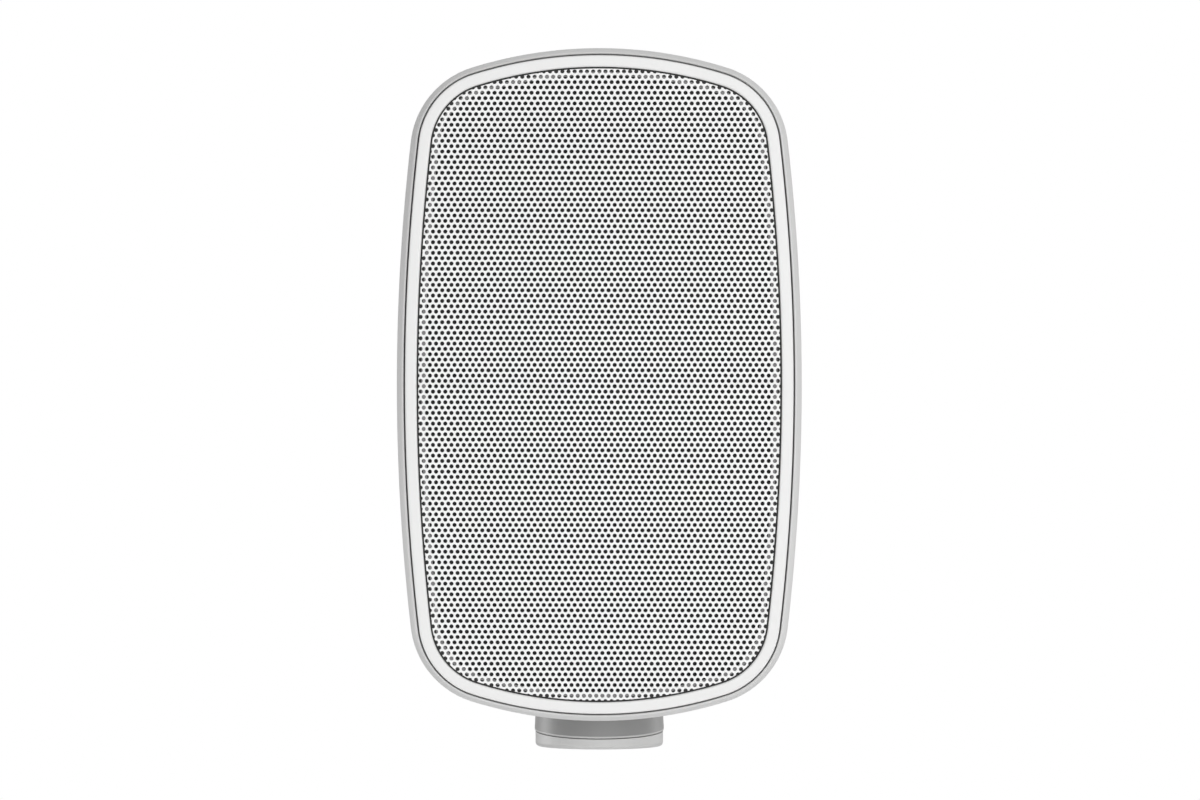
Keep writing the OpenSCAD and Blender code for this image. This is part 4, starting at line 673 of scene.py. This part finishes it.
uu, vv = np.meshgrid(u, v, indexing="ij")
girth = power(np.cos(uu), 0.35)
across, deep, up = girth * power(np.cos(vv), 0.35), power(np.sin(uu), 0.5), girth * power(np.sin(vv), 0.35)
lump = np.stack([across, deep, up], -1)
ripple = 0.965 - 0.03 * np.sin(5 * vv + 3 * uu) * np.cos(4 * uu)
pad_poles = [[0, -0.97, 0], [0, 0.97, 0]]
pad_points = np.concatenate([(lump * ripple[..., None]).reshape(-1, 3), pad_poles]) * half + middle
k = np.arange(PAD_SIDES)
n = (k + 1) % PAD_SIDES
pad_end = len(u) * PAD_SIDES
last_ring = pad_end - PAD_SIDES
pad_faces = [
    bands(len(u), PAD_SIDES),
    np.stack([np.full(PAD_SIDES, pad_end), n, k], 1),
    np.stack([np.full(PAD_SIDES, pad_end + 1), k + last_ring, n + last_ring], 1),
]
fibre = grained("wadding", (0.80, 0.78, 0.72), 0.95, grain=420, depth=0.9, spread=0.10)
wadding = mesh_piece(
    "wadding_pad", pad_points, pad_faces, "cabinet", fibre, ["damping_wadding"], angle=180
)

# Bracket arm. An aluminium casting with white powder coat, whose lower rim is rounded. It is the
# CAD's own form, copied, with its seams merged and that rim eased.
ARM_R, RIM_BEFORE_Y, RIM_BELOW_Z, RIM_EDGE = 33.4, -110, -33.5, 0.0022
arm_paint = grained("bracket_paint", (0.64, 0.64, 0.635), 0.5, grain=1300, depth=0.12, spread=0.02)
source = frame["nodes"]["bracket_arm"]
arm_mesh = source.data.copy()
work = bmesh.new()
work.from_mesh(arm_mesh)
bmesh.ops.remove_doubles(work, verts=work.verts, dist=1e-6)
bmesh.ops.recalc_face_normals(work, faces=work.faces)
bmesh.ops.dissolve_limit(work, angle_limit=math.radians(0.5), verts=work.verts, edges=work.edges)
work.to_mesh(arm_mesh)
work.free()
arm_mesh.materials.clear()
arm_mesh.materials.append(arm_paint)
arm_mesh.shade_smooth()
arm_mesh.set_sharp_from_angle(angle=math.radians(35))
spots = np.empty(len(arm_mesh.vertices) * 3, np.float32)
arm_mesh.vertices.foreach_get("co", spots)
spots = spots.reshape(-1, 3) * 1000
ends = np.empty(len(arm_mesh.edges) * 2, np.int32)
arm_mesh.edges.foreach_get("vertices", ends)
ends = spots[ends.reshape(-1, 2)]
rim = np.abs(np.hypot(ends[..., 0], ends[..., 1] - PAN_Y) - ARM_R).max(1) < 0.12
rim &= (ends[..., 1].max(1) < RIM_BEFORE_Y) & (ends[..., 2].max(1) < RIM_BELOW_Z)
weights = arm_mesh.attributes.new("bevel_weight_edge", "FLOAT", "EDGE")
weights.data.foreach_set("value", rim.astype(np.float32))
arm = bpy.data.objects.new("bracket_arm_casting", arm_mesh)
bpy.context.collection.objects.link(arm)
ease = arm.modifiers.new("rim", "BEVEL")
ease.limit_method = "WEIGHT"
ease.width = RIM_EDGE
ease.segments = 5
ease.use_clamp_overlap = True
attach(arm, "arm")
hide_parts("bracket_arm")

# Glide ring. A ring fills the step at the drum's foot and rubs on the bracket arm, with the dark
# seam below it. Its pale grey, brighter than the drum, is a painted highlight of light on the drum's
# lower edge. It is pressed onto the drum and turns with the cabinet.
GLIDE_IN_R, GLIDE_R, GLIDE_EDGE = 32.0, 33.75, 0.15
GLIDE_LOW, GLIDE_TOP, GLIDE_SIDES = -29.2, -28.1, 128
glide_levels = [(GLIDE_IN_R, GLIDE_LOW), (GLIDE_R - GLIDE_EDGE, GLIDE_LOW)]
glide_levels += [(GLIDE_R, GLIDE_LOW + GLIDE_EDGE), (GLIDE_R, GLIDE_TOP), (GLIDE_IN_R, GLIDE_TOP)]
# Painted highlight: pale grey for light caught by the drum's lower edge.
drum_rim_painted_highlight = grained("drum_rim_painted_highlight", (0.56, 0.56, 0.555), 0.4, grain=1100, depth=0.05)
mesh_piece(
    "drum_rim_highlight_ring",
    turned(glide_levels, GLIDE_SIDES),
    [bands(len(glide_levels), GLIDE_SIDES, closed=True)],
    "cabinet",
    drum_rim_painted_highlight,
    angle=50,
)

# Everything else keeps the CAD's form: drivers, crossover, leads, terminals, screws, drum and
# wall plate. Each takes the procedural finish of its own material slot.
FINISHES = {
    "black_plastic": lambda n: grained(n, (0.03, 0.03, 0.03), 0.5, 800, 0.12),
    "foam": lambda n: grained(n, (0.05, 0.05, 0.05), 0.95, 500, 0.7, spread=0.15),
    "rubber": lambda n: grained(n, (0.035, 0.035, 0.035), 0.62, 600, 0.15),
    "zinc_steel": lambda n: grained(n, (0.62, 0.62, 0.60), 0.34, 500, 0.05, 1.0, 0.06),
    "black_steel": lambda n: grained(n, (0.035, 0.035, 0.037), 0.42, 700, 0.08),
    "ferrite": lambda n: grained(n, (0.075, 0.075, 0.08), 0.7, 700, 0.25, 0.1, 0.12),
    "paper": lambda n: grained(n, (0.045, 0.045, 0.045), 0.8, 320, 0.5, spread=0.2),
    "copper": lambda n: banded(n, (0.72, 0.36, 0.17), 0.38, 2600, "Y", 0.6, 0.9),
    "spider_cloth": lambda n: banded(n, (0.50, 0.37, 0.16), 0.85, 1500, "X", 0.5),
    "silk": lambda n: banded(n, (0.07, 0.07, 0.07), 0.6, 2200, "X", 0.3),
    "strip_board": lambda n: grained(n, (0.30, 0.19, 0.09), 0.6, 300, 0.1, spread=0.12),
    "circuit_board": lambda n: grained(n, (0.06, 0.17, 0.05), 0.38, 450, 0.08, spread=0.08),
    "pale_plastic": lambda n: grained(n, (0.78, 0.78, 0.72), 0.45, 800, 0.06),
    "capacitor_film": lambda n: banded(n, (0.60, 0.44, 0.07), 0.3, 400, "X", 0.1, dark=0.86),
    "cement": lambda n: grained(n, (0.76, 0.73, 0.64), 0.85, 500, 0.5, spread=0.08),
    "lead_red": lambda n: grained(n, (0.42, 0.03, 0.03), 0.4, 500, 0.05),
    "lead_black": lambda n: grained(n, (0.03, 0.03, 0.03), 0.4, 500, 0.05),
    "lead_grey": lambda n: grained(n, (0.22, 0.22, 0.22), 0.45, 500, 0.05),
    "green_plastic": lambda n: grained(n, (0.05, 0.16, 0.05), 0.45, 700, 0.08),
    "brass": lambda n: grained(n, (0.70, 0.50, 0.20), 0.3, 600, 0.06, 1.0, 0.06),
    "cover_plastic": lambda n: grained(n, (0.78, 0.78, 0.775), 0.55, 1100, 0.1),
    # The drum's dark grey is partly its own tone and partly painted shade under the cabinet's overhang.
    "drum_plastic": lambda n: grained(n, (0.27, 0.27, 0.268), 0.45, 1100, 0.06),
    "bracket_paint": lambda n: arm_paint,
}
slot_of = {part["node"]: part["material_slot"] for part in frame["record"]["subparts"]}
made = {}
for node, thing in frame["nodes"].items():
    if thing.hide_render:
        continue
    name = slot_of[node]
    if name not in made:
        made[name] = FINISHES[name](name)
    if not thing.material_slots:
        thing.data.materials.append(None)
    for place in thing.material_slots:
        place.material = made[name]
